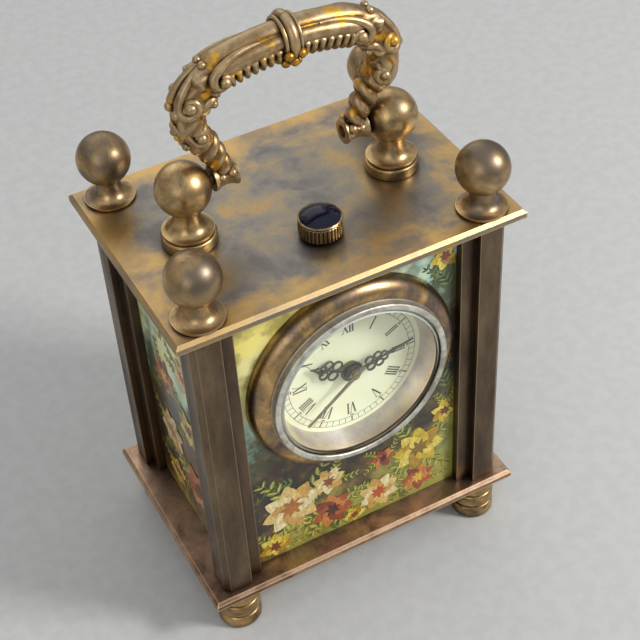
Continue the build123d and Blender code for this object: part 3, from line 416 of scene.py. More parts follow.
rise = node("Bump", {"Strength": 0.1, "Distance": 0.02 * MM, "Height": circles})
close(silvered, node("BsdfPrincipled", {
    "Base Color": tone, "Metallic": 1.0, "Roughness": 0.3, "Normal": rise,
}))
coat(silvered, "reflector_ring")


# Dial: a thin disc in cream enamel paint, printed with numerals and a ladder of minutes.
# The print is thin black ink, and small red marks stand at the five-minute places.
enamel, node, in_mm = new_material("cream_enamel")
mottle = node("TexNoise", {"Vector": in_mm, "Scale": 0.25, "Detail": 4})
tone = node("ValToRGB", {"Fac": mottle}, stops=[(0.35, "#f7f4ce"), (0.65, "#fcfade")])
close(enamel, node("BsdfPrincipled", {"Base Color": tone, "Roughness": 0.35, "Coat Weight": 0.3}))
coat(enamel, "dial")

ink_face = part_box("dial")[0].y / MM - 0.02


def flat(form, points, shade=0):
    """Adds a flat printed shape that faces the front, from x and z in millimetres."""
    face = form.faces.new([form.verts.new(Vector((x, ink_face, z)) * MM) for x, z in points])
    face.material_index = shade


def stroke(form, start, end, width, place, shade=0):
    """Adds a straight printed stroke between two points, placed on the dial by a function."""
    (ax, az), (bx, bz) = start, end
    length = hypot(bx - ax, bz - az)
    nx, nz = -(bz - az) / length * width / 2, (bx - ax) / length * width / 2
    points = [(ax + nx, az + nz), (bx + nx, bz + nz), (bx - nx, bz - nz), (ax - nx, az - nz)]
    flat(form, [place(x, z) for x, z in points], shade)


def pointing(clock_angle, out=0.0):
    """Place function for what is drawn upward at a clock angle, from a radius outward."""
    turn = radians(-clock_angle)
    return lambda x, z: (
        x * cos(turn) - (z + out) * sin(turn),
        axis_height + x * sin(turn) + (z + out) * cos(turn),
    )


def ring_parts(x, z, outer, inner, steps, start=0, sweep=360):
    """Outlines of the short parts of a flat ring."""
    for n in range(steps):
        turns = [radians(start + sweep * (n + k) / steps) for k in (0, 1)]
        outline = [(x + outer * cos(a), z + outer * sin(a)) for a in turns]
        yield outline + [(x + inner * cos(a), z + inner * sin(a)) for a in reversed(turns)]


half, numeral_radius = 0.9, 6.85
thick, thin, serif_half, gap = 0.2, 0.07, 0.16, 0.14
letter_width = {"I": 0.36, "V": 0.95, "X": 0.95}
form = bmesh.new()
for hour, numeral in enumerate("XII I II III IIII V VI VII VIII IX X XI".split()):
    place = pointing(30 * hour, numeral_radius)
    start = -sum(letter_width[letter] for letter in numeral) / 2
    for letter in numeral:
        middle = start + letter_width[letter] / 2
        reach = letter_width[letter] / 2 - gap
        if letter == "I":
            stroke(form, (middle, -half), (middle, half), thick, place)
            serifs = (middle,)
        else:
            foot = 0 if letter == "V" else reach
            for side, width in ((-1, thick), (1, thin)):
                upper_end = (middle + side * reach, half)
                stroke(form, upper_end, (middle - side * foot, -half), width, place)
            serifs = (middle - reach, middle + reach)
        for serif in serifs:
            for z in (half,) if letter == "V" else (half, -half):
                stroke(form, (serif - serif_half, z), (serif + serif_half, z), thin, place)
        start += letter_width[letter]
track_inner, track_outer, half_line = 8.35, 9.2, 0.03
minute_line, five_minute_line = 0.07, 0.18
red_radius, red_half, red_height = 8.1, 0.25, 0.2
for radius in (track_inner, track_outer):
    for outline in ring_parts(0, axis_height, radius + half_line, radius - half_line, 120):
        flat(form, outline)
for minute in range(60):
    place = pointing(6 * minute)
    width = minute_line if minute % 5 else five_minute_line
    stroke(form, (0, track_inner), (0, track_outer), width, place)
    if minute % 5 == 0:
        stroke(form, (-red_half, red_radius), (red_half, red_radius), red_height, place, 1)
printing = show(form, "dial_printing", "case", "dial_enamel")
for name, colour in (("printing_ink", "#37332c"), ("red_ink", "#b4563e")):
    ink, node, in_mm = new_material(name)
    # Printing ink lies unevenly, so its gloss changes from place to place
    film = node("TexNoise", {"Vector": in_mm, "Scale": 4.0, "Detail": 3})
    gloss = node("MapRange", [film, 0.3, 0.7, 0.35, 0.6])
    close(ink, node("BsdfPrincipled", {"Base Color": linear(colour), "Roughness": gloss}))
    printing.data.materials.append(ink)


# Hands: hour and minute hands are stamped and pierced in scrolls, with an eye before the tip.
# A plain narrow hand runs over them; all are steel, dulled to grey-brown, on one stack of pipes.
def skin(form, rings):
    """Joins rings of vertices in their order and closes both ends."""
    for low_ring, high_ring in zip(rings, rings[1:]):
        for n, vertex in enumerate(low_ring):
            m = (n + 1) % len(low_ring)
            form.faces.new((vertex, low_ring[m], high_ring[m], high_ring[n]))
    form.faces.new(rings[0][::-1])
    form.faces.new(rings[-1])


def blade(form, outline, place, low, high):
    """Adds a flat solid part of a hand, between two depths."""
    spots = [place(x, z) for x, z in outline]
    skin(form, [
        [form.verts.new(Vector((x, depth, z)) * MM) for x, z in spots] for depth in (low, high)
    ])


def tapered(start, half_start, end, half_end):
    """Outline of a straight part of a hand between two heights, by its half widths."""
    return [(-half_start, start), (half_start, start), (half_end, end), (-half_end, end)]


def hoop(form, x, z, outer, inner, place, low, high, start=0, sweep=360, steps=24):
    """Adds a pierced ring or a scroll of a hand as short joined blades."""
    for outline in ring_parts(x, z, outer, inner, steps, start, sweep):
        blade(form, outline, place, low, high)


# Clock angle, hub's two radii, scrolls by place and size, top of the stem, eye, tip and root
for name, clock_angle, hub, scrolls, stem_top, eye, tip, root in (
    ("hour", 298.0, (1.45, 1.06), ((0.72, 2.55, 0.76), (0.78, 3.9, 0.68)), 4.9, 0.4, 6.3, 1.3),
    ("minute", 78.5, (1.12, 0.73), ((0.58, 2.4, 0.64), (0.66, 3.6, 0.6)), 4.8, 0.26, 8.6, 1.0),
):
    low, high = [corner.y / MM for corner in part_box(name + "_hand")]
    where = (pointing(clock_angle), low, high)
    form = bmesh.new()
    hoop(form, 0, 0, *hub, *where, steps=40)
    blade(form, tapered(root, 0.28, root + 0.8, 0.13), *where)
    for side in (-1, 1):
        for x, z, size in scrolls:
            hoop(form, side * x, z, size, size - 0.22, *where)
        hoop(form, side * 0.36, 4.45, 0.42, 0.24, *where, 90 - side * 160, side * 250)
    blade(form, tapered(root + 0.7, 0.08, stem_top, 0.07), *where)
    hoop(form, 0, stem_top + 0.2, eye, eye - 0.15, *where)
    blade(form, tapered(stem_top + 0.2 + eye - 0.05, 0.2, tip, 0.05), *where)
    show(form, "pierced_" + name + "_hand", name, "hand_steel", name + "_hand")
low, high = [corner.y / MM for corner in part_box("seconds_hand")]
long_angle, long_tail, long_tip = 232.0, -1.6, 8.6
form = bmesh.new()
blade(form, tapered(long_tail, 0.26, long_tip, 0.12), pointing(long_angle), low, high)
profile = [
    (0, low - 0.06), (0.22, low - 0.12), (0.42, low - 0.1), (0.55, low), (0.55, high), (0, high),
]
turned(form, profile, (0, 0, axis_height), axis="Y", steps=32)
show(form, "plain_long_hand", "seconds", "seconds_steel", "seconds_hand")
for name, colour, rough, pieces in (
    ("browned_steel", "#6a6458", 0.38, ("pierced_hour_hand", "pierced_minute_hand")),
    ("dull_steel", "#9a9078", 0.4, ("plain_long_hand",)),
):
    steel, node, in_mm = new_material(name)
    stain = node("TexNoise", {"Vector": in_mm, "Scale": 0.8, "Detail": 4})
    gloss = node("MapRange", [stain, 0.3, 0.7, rough - 0.08, rough + 0.1])
    close(steel, node("BsdfPrincipled", {
        "Base Color": linear(colour), "Metallic": 1.0, "Roughness": gloss,
    }))
    coat(steel, *pieces)


# Crown: turned brass on the winding stem, its side cut in fine upright notches for the fingers.
# Brown, with painted shade in the notches and a thin bright rim round the cup for the stone.
crown_low, crown_high = [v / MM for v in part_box("crown")]
crown_y = (crown_low.y + crown_high.y) / 2
crown_radius = crown_high.x
notches, notch_steps, notch_depth = 34, 8, 0.17
# Height from the foot or from the rim, step in from the side, share of the notches' depth
foot_levels = ((0, 0.35, 0.0), (0.1, 0.12, 0.6), (0.25, 0.0, 1.0))
rim_levels = (
    (-0.52, 0.0, 1.0), (-0.44, 0.06, 0.3), (-0.36, 0.16, 0.0), (-0.28, 0.04, 0.0),
    (-0.08, 0.0, 0.0), (0, 0.08, 0.0), (0, 0.24, 0.0),
)
crown_levels = [(crown_low.z + up, inset, depth) for up, inset, depth in foot_levels]
crown_levels += [(crown_high.z + up, inset, depth) for up, inset, depth in rim_levels]
form = bmesh.new()
crown_rings = []
for level, inset, depth in crown_levels:
    ring = []
    for n in range(notches * notch_steps):
        turn = 2 * pi * n / (notches * notch_steps)
        cut = (0.5 - 0.5 * cos(turn * notches)) ** 3
        radius = crown_radius - inset - depth * notch_depth * cut
        spot = Vector((radius * cos(turn), crown_y + radius * sin(turn), level))
        ring.append(form.verts.new(spot * MM))
    crown_rings.append(ring)
skin(form, crown_rings)
show(form, "notched_crown", "crown", "antique_brass", "crown")
coat(tarnished_brass(
    "turned_brass_crown", ("#a58a60", "#8f7854", "#776248", "#54463a"), "#cdb282",
    blotch=2.5, rough=(0.25, 0.4), grain=(1, 1, 0.2), edge_width=0.12, painted_shade=0.5,
), "notched_crown")


# Stone: a low polished dome of dark blue glass, cemented in the crown's cup.
# It is almost black except where light passes through its edge.
stone_low, stone_high = [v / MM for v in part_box("cabochon")]
stone_radius = stone_high.x
stone_rise = stone_high.z - crown_high.z
sphere = (stone_radius**2 + stone_rise**2) / (2 * stone_rise)
edge_angle = 180 / pi * atan2(sphere - stone_rise, stone_radius)
profile = [(0, stone_low.z), (stone_radius, stone_low.z)]
profile += arc((0, stone_high.z - sphere), sphere, edge_angle, 90, 14)[:-1]
profile += [(0, stone_high.z)]
form = bmesh.new()
turned(form, profile, (0, crown_y, 0), steps=64)
show(form, "domed_stone", "crown", "stone_glass", "cabochon")
stone, node, in_mm = new_material("blue_stone")
cloud = node("TexNoise", {"Vector": in_mm, "Scale": 0.6, "Detail": 3})
tone = node("ValToRGB", {"Fac": cloud}, stops=[(0.35, "#030410"), (0.65, "#080b26")])
close(stone, node("BsdfPrincipled", {"Base Color": tone, "Roughness": 0.12, "IOR": 1.4}))
coat(stone, "domed_stone")


# Handle: one lost-wax brass casting in scrollwork, swinging on two knuckles between the posts.
# Smooth ribs run over its middle, straps curl round beads on the shoulders, rope winds round the
# legs. It is bronze-brown on its high parts, with bright gold left in the hollows.
lean = radians(4.0)
knuckle_in, knuckle_out = 6.9, 9.95
foot_x = (knuckle_in + knuckle_out) / 2
# Half of the bow's centre line: distance from the middle, rise over the pivot, radius of the bar
bow = [
    (foot_x, 0.6, 1.05),
    (foot_x + 0.9, 3.2, 1.25),
    (foot_x + 2.3, 6.0, 1.6),
    (foot_x + 3.4, 9.2, 1.95),
    (foot_x + 2.7, 12.2, 2.1),
    (foot_x + 0.2, 14.5, 2.05),
    (foot_x / 2, 15.6, 2.0),
    (0.0, 15.9, 2.0),
]
bow += [(-x, rise, radius) for x, rise, radius in reversed(bow[:-1])]
bar_radius = 2.0


def along_bow(t):
    """Smooth place and radius on the bow, t from 0 at the right foot to 1 at the left."""
    spot = t * (len(bow) - 1)
    k = min(int(spot), len(bow) - 2)
    f = spot - k
    a, b, c, d = bow[max(k - 1, 0)], bow[k], bow[k + 1], bow[min(k + 2, len(bow) - 1)]
    return [
        0.5 * (2 * q + (r - p) * f + (2 * p - 5 * q + 4 * r - s) * f**2
               + (3 * q - p - 3 * r + s) * f**3)
        for p, q, r, s in zip(a, b, c, d)
    ]


rows, round_steps = 620, 104
lengths, total = [0.0], 0.0
for row in range(rows):
    x, rise, _ = along_bow(row / rows)
    next_x, next_rise, _ = along_bow((row + 1) / rows)
    total += hypot(next_x - x, next_rise - rise)
    lengths.append(total)


def on_bow(length, degrees, lift):
    """Point from its length right of the bow's middle, angle round the bar and lift off it."""
    target = min(total, max(0.0, total / 2 - length))
    row = min(rows - 1, max(0, bisect(lengths, target) - 1))
    t = (row + (target - lengths[row]) / (lengths[row + 1] - lengths[row])) / rows
    x, rise, radius = along_bow(t)
    ahead, behind = along_bow(min(t + 0.004, 1)), along_bow(max(t - 0.004, 0))
    along = Vector((ahead[0] - behind[0], ahead[1] - behind[1])).normalized()
    reach = (radius + lift) * cos(radians(degrees))
    forward = (radius + lift) * sin(radians(degrees))
    rise -= along.x * reach
    return Vector((
        x + along.y * reach,
        -rise * sin(lean) - forward * cos(lean),
        pivot + rise * cos(lean) - forward * sin(lean),
    ))


def ramp(value, start, end):
    """Rises smoothly from 0 at start to 1 at end."""
    share = min(1.0, max(0.0, (value - start) / (end - start)))
    return share * share * (3 - 2 * share)


def ridge(degrees, middle, width):
    """Height of a rounded rib at an angle round the bar."""
    away = abs((degrees - middle + 180) % 360 - 180)
    return cos(min(1.0, away / width) * pi / 2)


def relief(length, degrees):
    """Height of the cast relief: the back mirrors the front."""
    degrees = abs((degrees + 180) % 360 - 180)
    past_middle = ramp(length, 8.0, 9.6)
    past_shoulder = ramp(length, 17.6, 19.0)
    past_leg = ramp(length, 23.8, 25.0)
    # Outer rib, rib on the front, and gadroons a millimetre wide that hang below like a fringe
    fringe = abs(cos(pi * (length + 0.3))) ** 0.5
    ribs = 0.42 * ridge(degrees, 0, 42) ** 0.7 + 0.36 * ridge(degrees, 76, 32) ** 0.7
    ribs += (fringe - 0.1) * ridge(degrees, 140, 46) ** 0.6
    # Overlapping leaves with a mid rib and fine veins
    share = (length * 0.36) % 1.0
    leaf = min(share / 0.8, (1 - share) / 0.2)
    upper_fold = ridge(degrees, 38 + 24 * sin(length * 0.6), 40)
    lower_fold = ridge(degrees, 120 - 20 * sin(length * 0.5), 44)
    veins = abs(sin(radians(degrees) * 5 + length * 2.2))
    leaves = (0.5 * (upper_fold + lower_fold) + 0.14 * veins) * (0.4 + 0.8 * leaf**1.4)
    # Rope of diagonal strands
    rope = abs(sin(length * 1.7 + radians(degrees))) ** 0.7
    height = (1 - past_middle) * (ribs - 0.22) + past_middle * (1 - past_shoulder) * (leaves - 0.3)
    return height + past_shoulder * (1 - past_leg) * (0.5 * rope - 0.25)


form = bmesh.new()
raised = form.verts.layers.float.new("raised")
grid = []
for row in range(rows + 1):
    length = total / 2 - lengths[row]
    line = []
    for n in range(round_steps):
        degrees = 360 * n / round_steps
        bump = relief(abs(length), degrees)
        vertex = form.verts.new(on_bow(length, degrees, bump) * MM)
        vertex[raised] = bump
        line.append(vertex)
    grid.append(line)
skin(form, grid)


def swept(form, path, radii, height=0.22):
    """Adds a round wire of changing thickness along points, closed at both ends."""
    sides = 12
    rings = []
    side = Vector((0.3, 1, 0.2))
    for n, point in enumerate(path):
        along = (path[min(n + 1, len(path) - 1)] - path[max(n - 1, 0)]).normalized()
        side = (side - along * side.dot(along)).normalized()
        other = along.cross(side)
        ring = []
        for k in range(sides):
            turn = 2 * pi * k / sides
            spot = point + radii[n] * (side * cos(turn) + other * sin(turn))
            ring.append(form.verts.new(spot * MM))
            ring[-1][raised] = height
        rings.append(ring)
    skin(form, rings)


def bead(form, centre, radius, height=0.3):
    """Adds a ball; wires and balls are marked with a height that the material reads."""
    outline = [(0, -radius)] + arc((0, 0), radius, -90, 90, 12)[1:-1] + [(0, radius)]
    for vertex in turned(form, outline, centre, steps=16):
        vertex[raised] = height


# Straps that end in a curl round a bead: the curl's place on the bow, size, first angle and
# sweep, the place where its tail starts, and the wire's thickness
straps = (
    (8.6, 100, 1.3, -70, 330, 3.4, 44, 0.66),
    (12.8, 62, 1.3, -80, 330, 8.0, 10, 0.7),
    (12.0, 140, 0.95, -110, -340, 15.8, 150, 0.55),
    (16.8, 92, 1.2, -70, 330, 12.6, 26, 0.62),
    (16.2, 14, 0.8, -110, -320, 19.4, 36, 0.5),
)
tail_steps, curl_steps = 12, 30
for side in (-1, 1):
    for face in (-1, 1):
        for s0, d0, size, start, sweep, tail_s, tail_d, wire in straps:
            middle = Vector((s0, radians(d0) * bar_radius))
            first = radians(start)
            begin = middle + size * Vector((cos(first), sin(first)))
            tail = Vector((tail_s, radians(tail_d) * bar_radius))
            heading = Vector((-sin(first), cos(first))) * (1 if sweep > 0 else -1)
            bend = begin - heading * 0.55 * (begin - tail).length
            spots = []
            for n in range(tail_steps):
                f = n / tail_steps
                spots.append(tail * (1 - f) ** 2 + bend * 2 * f * (1 - f) + begin * f * f)
            for n in range(curl_steps + 1):
                share = n / curl_steps
                turn = first + radians(sweep) * share
                spots.append(middle + size * (1 - 0.7 * share) * Vector((cos(turn), sin(turn))))
            path, radii = [], []
            for n, spot in enumerate(spots):
                share = n / (len(spots) - 1)
                degrees = face * spot.y / bar_radius * 180 / pi
                path.append(on_bow(side * spot.x, degrees, 0.3 * min(1, 3 * share) - 0.32))
                radii.append(wire * min(1.0, 0.4 + 2 * share) * (1 - 0.4 * share))
            swept(form, path, radii)
            bead(form, on_bow(side * s0, face * d0, 0.25), 0.52 * size)
        # Small beads along the outer edge and by the knuckle
        for s0, d0, size in ((9.3, 16, 0.5), (13.9, 26, 0.6), (17.8, 16, 0.55), (24.6, 60, 0.55)):
            bead(form, on_bow(side * s0, face * d0, 0.1), size)
        bead(form, on_bow(side * 25.6, face * 120, 0.25), 0.6)
    # Ring where the leg meets its knuckle
    swept(form, [on_bow(side * 25.4, 15 * a, 0.05) for a in range(25)], [0.32] * 25)

# Middle collar: a bold ring between two fine ones
for offset, wire in ((0.85, 0.26), (0.0, 0.66), (-0.85, 0.26)):
    swept(form, [on_bow(offset, 7.5 * a, 0.32) for a in range(49)], [wire] * 49, height=0.3)
# A rosette of five beads under the collar, front and back; its low mark keeps it gilt
for face in (-1, 1):
    bead(form, on_bow(-0.1, face * 126, 0.95), 0.6, height=-0.9)
    for reach in (-0.75, 0.75):
        for turn in (-19, 19):
            bead(form, on_bow(reach - 0.1, face * (126 + turn), 0.75), 0.58, height=-0.9)

# Knuckles: short tubes with flared ends, by radius and distance from their inner end
profile = (
    (0.78, 1.2), (0.8, 0.05), (1.3, 0), (1.55, 0.1), (1.55, 0.3), (1.3, 0.75),
    (1.16, 1.525), (1.3, 2.35), (1.55, 2.75), (1.55, 3.05), (0.78, 3.05),
)
for side in (-1, 1):
    outline = [(radius, side * (knuckle_in + x)) for radius, x in profile]
    for vertex in turned(form, outline, (0, 0, pivot), axis="X", steps=40):
        vertex[raised] = 0.3
show(form, "cast_handle", "handle", "handle_bronze", "handle", sharp=60)

handle_brass, node, in_mm = new_material("cast_brass_handle")
height = node("Attribute", attribute_name="raised").outputs["Fac"]
cast_skin = node("TexNoise", {"Vector": in_mm, "Scale": 0.8, "Detail": 6, "Roughness": 0.65})
level = node("MapRange", [height, -0.25, 0.25, -0.3, 0.25])
mixed = node("Math", [level, cast_skin], operation="ADD")
cast_stops = [(0.16, "#d49a34"), (0.34, "#8a6a42"), (0.55, "#9e8462"), (0.8, "#c2a880")]
tone = node("ValToRGB", {"Fac": mixed}, stops=cast_stops)
# Gold patches about two millimetres across, placed at random: worn gilding and painted glints
gold_spread = node("TexNoise", {"Vector": in_mm, "Scale": 0.42, "Detail": 3, "Roughness": 0.5})
gilt_and_glint_mask = node("MapRange", [gold_spread, 0.57, 0.66, 0.0, 0.85])
gilt_and_glints = node("Mix", {0: gilt_and_glint_mask, 6: tone, 7: linear("#e6ae40")}, data_type="RGBA")
# Painted shade: ambient occlusion darkens the hollows and the places where parts meet
corner = node("AmbientOcclusion", {"Distance": 0.9 * MM}, samples=6).outputs["AO"]
shade = node("MapRange", [corner, 0.35, 0.9, 0.26, 1.0])
colour = node("Mix", {0: 1.0, 6: gilt_and_glints, 7: shade}, data_type="RGBA", blend_type="MULTIPLY")
# Grit of the casting, a fifth of a millimetre
grit = node("TexNoise", {"Vector": in_mm, "Scale": 5.0, "Detail": 3})
rise = node("Bump", {"Strength": 0.25, "Distance": 0.05 * MM, "Height": grit})
dull = node("MapRange", [cast_skin, 0.3, 0.7, 0.33, 0.48])
close(handle_brass, node("BsdfPrincipled", {
    "Base Color": colour, "Metallic": 1.0, "Roughness": dull, "Normal": rise,
}))
coat(handle_brass, "cast_handle")


# Painted panels: lacquered metal plates, slid into the columns' rebates.
# Front and sides carry garlands of blossom and leaves on a dark ground under a yellow sky.
painted, node, in_mm = new_material("painted_ground")
split = node("SeparateXYZ", [in_mm]).outputs
waver = node("TexNoise", {"Vector": in_mm, "Scale": 0.2, "Detail": 5, "Roughness": 0.6})
shift = node("MapRange", [waver, 0.3, 0.7, -0.13, 0.13])
level = node("MapRange", [split["Z"], 7.7, 52.4, 0.0, 1.0])
slope = node("MapRange", [split["X"], -15.0, 15.0, 0.12, -0.22])
wavy = node("Math", [level, shift], operation="ADD")
band = node("Math", [wavy, slope], operation="ADD")
# From the foot of the panel up: olive, dark earth, a little teal, and the yellow sky
ground = node("ValToRGB", {"Fac": band}, stops=[
    (0.0, "#9a9a44"), (0.06, "#9c8c3c"), (0.15, "#5c4824"),
    (0.26, "#1f1a10"), (0.48, "#3a2216"), (0.6, "#4f5a3a"),
    (0.68, "#b6d8c6"), (0.76, "#f2f0b0"), (1.0, "#fbea7c"),
])
# Loose brush dabs about a millimetre long
dabs = node("TexVoronoi", {"Vector": in_mm, "Scale": 1.1, "Randomness": 1.0})
dab_hue = node("SeparateColor", [dabs.outputs["Color"]])
dab_stops = [(0.1, "#23240f"), (0.45, "#575c26"), (0.7, "#8f7a2a"), (0.9, "#6c3a1e")]
dab_tone = node("ValToRGB", {"Fac": dab_hue}, stops=dab_stops)
mask = node("TexNoise", {"Vector": in_mm, "Scale": 0.35, "Detail": 4})
amount = node("MapRange", [mask, 0.48, 0.6, 0.0, 0.5])
picture = node("Mix", {0: amount, 6: ground, 7: dab_tone}, data_type="RGBA")
# One clear lacquer lies over ground and touches
lacquer = {"Roughness": 0.3, "Coat Weight": 0.5, "Coat Roughness": 0.12}
close(painted, node("BsdfPrincipled", {"Base Color": picture, **lacquer}))
coat(painted, "front_panel", "left_panel", "right_panel")

random.seed(7)
side_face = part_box("right_panel")[1].x / MM
panel_bottom, panel_top = [v.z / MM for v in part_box("front_panel")]
paint_step = 0.016


def dab(form, points, put, layer, colour):
    """Adds a flat touch of paint at a level of its own; put turns panel place into space."""
    # Where touches cross in one plane they would render black
    layer += len(form.faces) % 16 / 16
    face = form.faces.new([form.verts.new(put(x, z, layer) * MM) for x, z in points])
    for loop in face.loops:
        loop[form.loops.layers.float_color["tint"]] = linear(colour)


def petal(form, x, z, length, width, turn, put, layer, colour):
    """Teardrop of paint from a root, pointing at an angle in degrees."""
    steps = 8
    outline = []
    for n in range(steps + 1):
        share = n / steps
        outline.append((length * share, width / 2 * sin(pi * share**0.85) ** 0.8))
    outline += [(u, -v) for u, v in outline[-2:0:-1]]
    c, s = cos(radians(turn)), sin(radians(turn))
    dab(form, [(x + u * c - v * s, z + u * s + v * c) for u, v in outline], put, layer, colour)


def blossom(form, x, z, size, put, petals, heart, count):
    """Open flower: an outer and an inner round of petals and a dotted heart."""
    start = random.uniform(0, 360)
    for round_of, (reach, wide) in enumerate(((1.0, 0.62), (0.7, 0.5))):
        for n in range(count):
            turn = start + 360 * (n + 0.5 * round_of) / count + random.uniform(-6, 6)
            tone = petals[(n + round_of) % len(petals)]
            long, broad = size * reach, size * wide
            petal(form, x, z, long, broad, turn, put, 3 + round_of, tone)
            # A darker throat along each petal
            petal(form, x, z, long * 0.6, broad * 0.3, turn + 4, put, 3.5 + round_of, heart)
    for n in range(6):
        petal(form, x, z, size * 0.28, size * 0.2, start + 60 * n, put, 6, heart)


def sprig(form, x, z, length, turn, put, tones):
    """Curved stem with leaves in pairs, dark half and light half."""
    for n in range(6):
        share = n / 6
        bend = turn + 22 * share
        px = x + length * share * cos(radians(bend))
        pz = z + length * share * sin(radians(bend))
        petal(form, px, pz, length / 5, 0.22, bend + 8, put, 1, tones[0])
        for side in (-1, 1):
            size = length * (0.3 - 0.16 * share)
            petal(form, px, pz, size, size * 0.42, bend + side * 48, put, 1, tones[1 + n % 2])
            petal(form, px, pz, size * 0.9, size * 0.16, bend + side * 44, put, 2, tones[3])


def on_front(x, z, layer):
    """Place on the front panel, with paint on it in layers."""
    return Vector((x, panel_face - paint_step * (layer + 1), z))


def trim(form, outside):
    """Takes off every touch with a corner that lies outside, in millimetres."""
    strays = [face for face in form.faces if any(outside(v.co / MM) for v in face.verts)]
    bmesh.ops.delete(form, geom=strays, context="FACES")


cream = ("#e6c67a", "#f0dea6", "#d2a452")
orange = ("#b4552c", "#cf8440", "#8e3a22")
yellow = ("#d9b92c", "#ecd65c", "#b88f24")
leaf_tones = ("#5e6426", "#9aa03a", "#6a7a3c", "#cfc456")
dark_leaves = ("#2c3a22", "#4a5d2c", "#2f5148", "#7e8a3a")
# Place, size, petals, heart and number of petals
flowers = (
    (-9.4, 16.0, 4.4, cream, "#b8742c", 8),
    (-3.6, 12.0, 3.2, orange, "#4a2412", 7),
    (-12.2, 9.8, 2.6, yellow, "#7c3a1c", 7),
    (-3.9, 17.8, 2.5, cream, "#8a4a1e", 7),
    (3.4, 11.4, 3.2, cream, "#c4582a", 8),
    (9.6, 16.6, 3.9, yellow, "#8a6a1e", 8),
    (9.4, 10.8, 2.6, orange, "#e8c24a", 7),
    (4.2, 17.6, 1.9, orange, "#4a2412", 6),
    (13.6, 21.6, 2.2, yellow, "#7c3a1c", 7),
    (13.4, 48.2, 2.2, yellow, "#7c3a1c", 6),
    (-0.4, 9.0, 1.8, yellow, "#8a4a1e", 6),
    (13.0, 31.8, 1.6, orange, "#e8c24a", 6),
)
front_half, side_half, leafy_top = 15.0, 9.2, 30
form = bmesh.new()
form.loops.layers.float_color.new("tint")
for x, z, size, petals, heart, count in flowers:
    for turn in (random.uniform(0, 90) + 90 * n for n in range(4)):
        tones = leaf_tones if z < leafy_top else dark_leaves
        sprig(form, x, z, min(size * 1.9, 15.2 - abs(x) + 3), turn, on_front, tones)
    blossom(form, x, z, size, on_front, petals, heart, count)
for x, z, turn, length in (
    (14.0, 43.5, 112, 5.5), (9.6, 51.6, 200, 4.0), (-9.0, 20.6, 160, 4.5), (14.0, 26.0, 100, 6.0),
    (5.8, 20.2, 20, 4.0), (-4.0, 8.6, 14, 4.0), (6.5, 8.8, 10, 4.0),
):
    sprig(form, x, z, length, turn, on_front, dark_leaves)
trim(form, lambda spot: (
    abs(spot.x) > front_half or not panel_bottom < spot.z < panel_top
    or hypot(spot.x, spot.z - axis_height) < bezel_radius - 1.5
))
show(form, "front_garland", "case", "panel_enamel")

side_flowers = (
    (-3.3, 15.2, 4.2, orange, "#2a1c10", 6),
    (3.6, 20.6, 3.6, cream, "#b8742c", 8),
    (-3.0, 26.4, 3.1, yellow, "#7c3a1c", 7),
    (3.2, 31.0, 3.2, orange, "#e8c24a", 6),
    (-3.4, 36.4, 2.8, cream, "#c4582a", 7),
    (1.8, 42.4, 2.4, yellow, "#8a4a1e", 6),
    (4.2, 12.2, 2.8, yellow, "#8a4a1e", 6),
)
for name, side in (("left", -1), ("right", 1)):
    form = bmesh.new()
    form.loops.layers.float_color.new("tint")

    def on_side(x, z, layer, side=side):
        """Place on a side panel, seen from outside."""
        return Vector((side * (side_face + paint_step * (layer + 1)), -side * x, z))

    for x, z, size, petals, heart, count in side_flowers:
        for turn in (random.uniform(0, 120) + 120 * n for n in range(3)):
            sprig(form, x, z, size * 1.9, turn, on_side, leaf_tones)
        blossom(form, x, z, size, on_side, petals, heart, count)
    sprig(form, -1.0, 43.0, 7.0, 80, on_side, dark_leaves)
    sprig(form, 0.5, 9.0, 5.0, 95, on_side, dark_leaves)
    trim(form, lambda spot: abs(spot.y) > side_half)
    show(form, name + "_garland", "case", "panel_enamel")

# Brush paint: streaks four tenths of a millimetre wide, darker and lighter than the touch's tint
touches, node, in_mm = new_material("painted_touches")
tint = node("VertexColor", layer_name="tint")
bristle = node("VectorMath", [in_mm, (1.0, 1.0, 0.4)], operation="MULTIPLY")
streak = node("TexNoise", {"Vector": bristle, "Scale": 2.4, "Detail": 5, "Roughness": 0.7})
value = node("MapRange", [streak, 0.3, 0.7, 0.55, 1.15])
paint = node("HueSaturation", {"Value": value, "Color": tint})
close(touches, node("BsdfPrincipled", {"Base Color": paint, **lacquer}))
coat(touches, "front_garland", "left_garland", "right_garland")


# Back panel: a plain plate of the same brass as the bottom, without paint.
# Nobody polishes it, so it is evenly dull with faint upright brushing.
coat(tarnished_brass(
    "rolled_brass_back", ("#b3976a", "#a58c66", "#96815f", "#857459"), "#d8b070",
    blotch=12.0, rough=(0.36, 0.5), grain=(3.0, 1.0, 0.3), stretch=(1.0, 1.0, 0.5),
    spread=0.18, swirl=0.15,
), "back_panel")


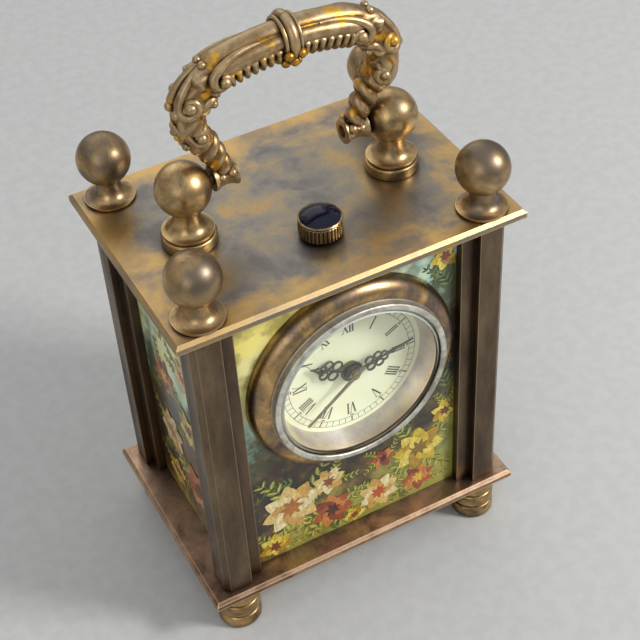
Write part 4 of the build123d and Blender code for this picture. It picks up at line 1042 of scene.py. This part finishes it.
# Movement: grained brass plates and wheels, with ground steel screws, pinions and arbors.
# It is closed in by the case, so its parts keep their clean workshop finish.
# The rods and nuts that hold the case together are of the same steel.
for name, tones, rough, names in (
    (
        "grained_movement_brass", ("#c8a45a", "#d2b068"), 0.32,
        "movement_ring mainplate train_bridge balance_cock pallet_bridge barrel barrel_cover "
        "centre_wheel third_wheel fourth_wheel balance_wheel minute_wheel hour_wheel",
    ),
    (
        "ground_steel", ("#a6a7a9", "#b9babc"), 0.26,
        "tie_rods post_nuts case_screws crown_wheel_screw click_screw setting_cover "
        "cover_screw stem_tube setting_slide winding_stem winding_pinion barrel_arbor "
        "ratchet_wheel crown_wheel click mainspring cannon_pinion escape_wheel pallet_fork "
        "hairspring",
    ),
):
    metal, node, in_mm = new_material(name)
    graining = node("TexNoise", {"Vector": in_mm, "Scale": 2.5, "Detail": 5, "Roughness": 0.7})
    tone = node("ValToRGB", {"Fac": graining}, stops=[(0.35, tones[0]), (0.65, tones[1])])
    gloss = node("MapRange", [graining, 0.3, 0.7, rough - 0.06, rough + 0.1])
    close(metal, node("BsdfPrincipled", {
        "Base Color": tone, "Metallic": 1.0, "Roughness": gloss,
    }))
    coat(metal, *names.split())


# Studio: a pale matt floor under a bright sky, with one large lamp to the right.
# Softer lamps at the left and behind fill the shadows.
floor_reach = 1.5
form = bmesh.new()
bmesh.ops.create_grid(form, x_segments=2, y_segments=2, size=floor_reach)
floor_mesh = bpy.data.meshes.new("floor")
form.to_mesh(floor_mesh)
form.free()
floor = stand("floor", floor_mesh)
pale, node, in_mm = new_material("pale_floor")
fleck = node("TexNoise", {"Vector": in_mm, "Scale": 0.5, "Detail": 3})
tone = node("ValToRGB", {"Fac": fleck}, stops=[(0.4, "#bcbcb9"), (0.6, "#c1c1be")])
close(pale, node("BsdfPrincipled", {"Base Color": tone, "Roughness": 0.9}))
floor.data.materials.append(pale)

world = bpy.data.worlds.new("studio")
bpy.context.scene.world = world
world.use_nodes = True
world.node_tree.nodes.clear()
node = partial(add, world.node_tree)
direction = node("TexCoord").outputs["Generated"]
height = node("SeparateXYZ", [direction]).outputs["Z"]
sky_stops = [(0.0, "#8d8985"), (0.35, "#bab8b6"), (1.0, "#e2e6ec")]
sky = node("ValToRGB", {"Fac": height}, stops=sky_stops)
glow = node("Background", {"Color": sky, "Strength": 0.95})
node("OutputWorld", {"Surface": glow})

# Place, width in metres and power in watts
for name, place_at, size, power in (
    ("key_lamp", (0.29, -0.25, 0.31), 0.10, 1.5),
    ("fill_lamp", (-0.32, -0.30, 0.25), 0.25, 0.25),
    ("back_lamp", (0.05, 0.40, 0.34), 0.40, 0.3),
):
    lamp = bpy.data.lights.new(name, "AREA")
    lamp.size = size
    lamp.energy = power
    lamp_object = stand(name, lamp)
    lamp_object.location = place_at
    aim = Vector((0, 0, 0.03)) - Vector(place_at)
    lamp_object.rotation_euler = aim.to_track_quat("-Z", "Y").to_euler()


# Camera: stands where the photographer held it, above and to the left of the dial.
# Its place and lens were worked out from the corners of the case.
camera = bpy.data.cameras.new("camera")
camera.lens = 81.0
camera.sensor_width = 36.0
camera_object = stand("camera", camera)
camera_object.location = Vector((-56.96, -122.45, 159.11)) * MM
sight = Vector((0.3205, 0.6602, -0.6793)).to_track_quat("-Z", "Y")
camera_roll = radians(-3.79)
camera_object.rotation_euler = (sight @ Quaternion((0, 0, 1), camera_roll)).to_euler()
bpy.context.scene.camera = camera_object
bpy.context.scene.view_settings.view_transform = "Standard"
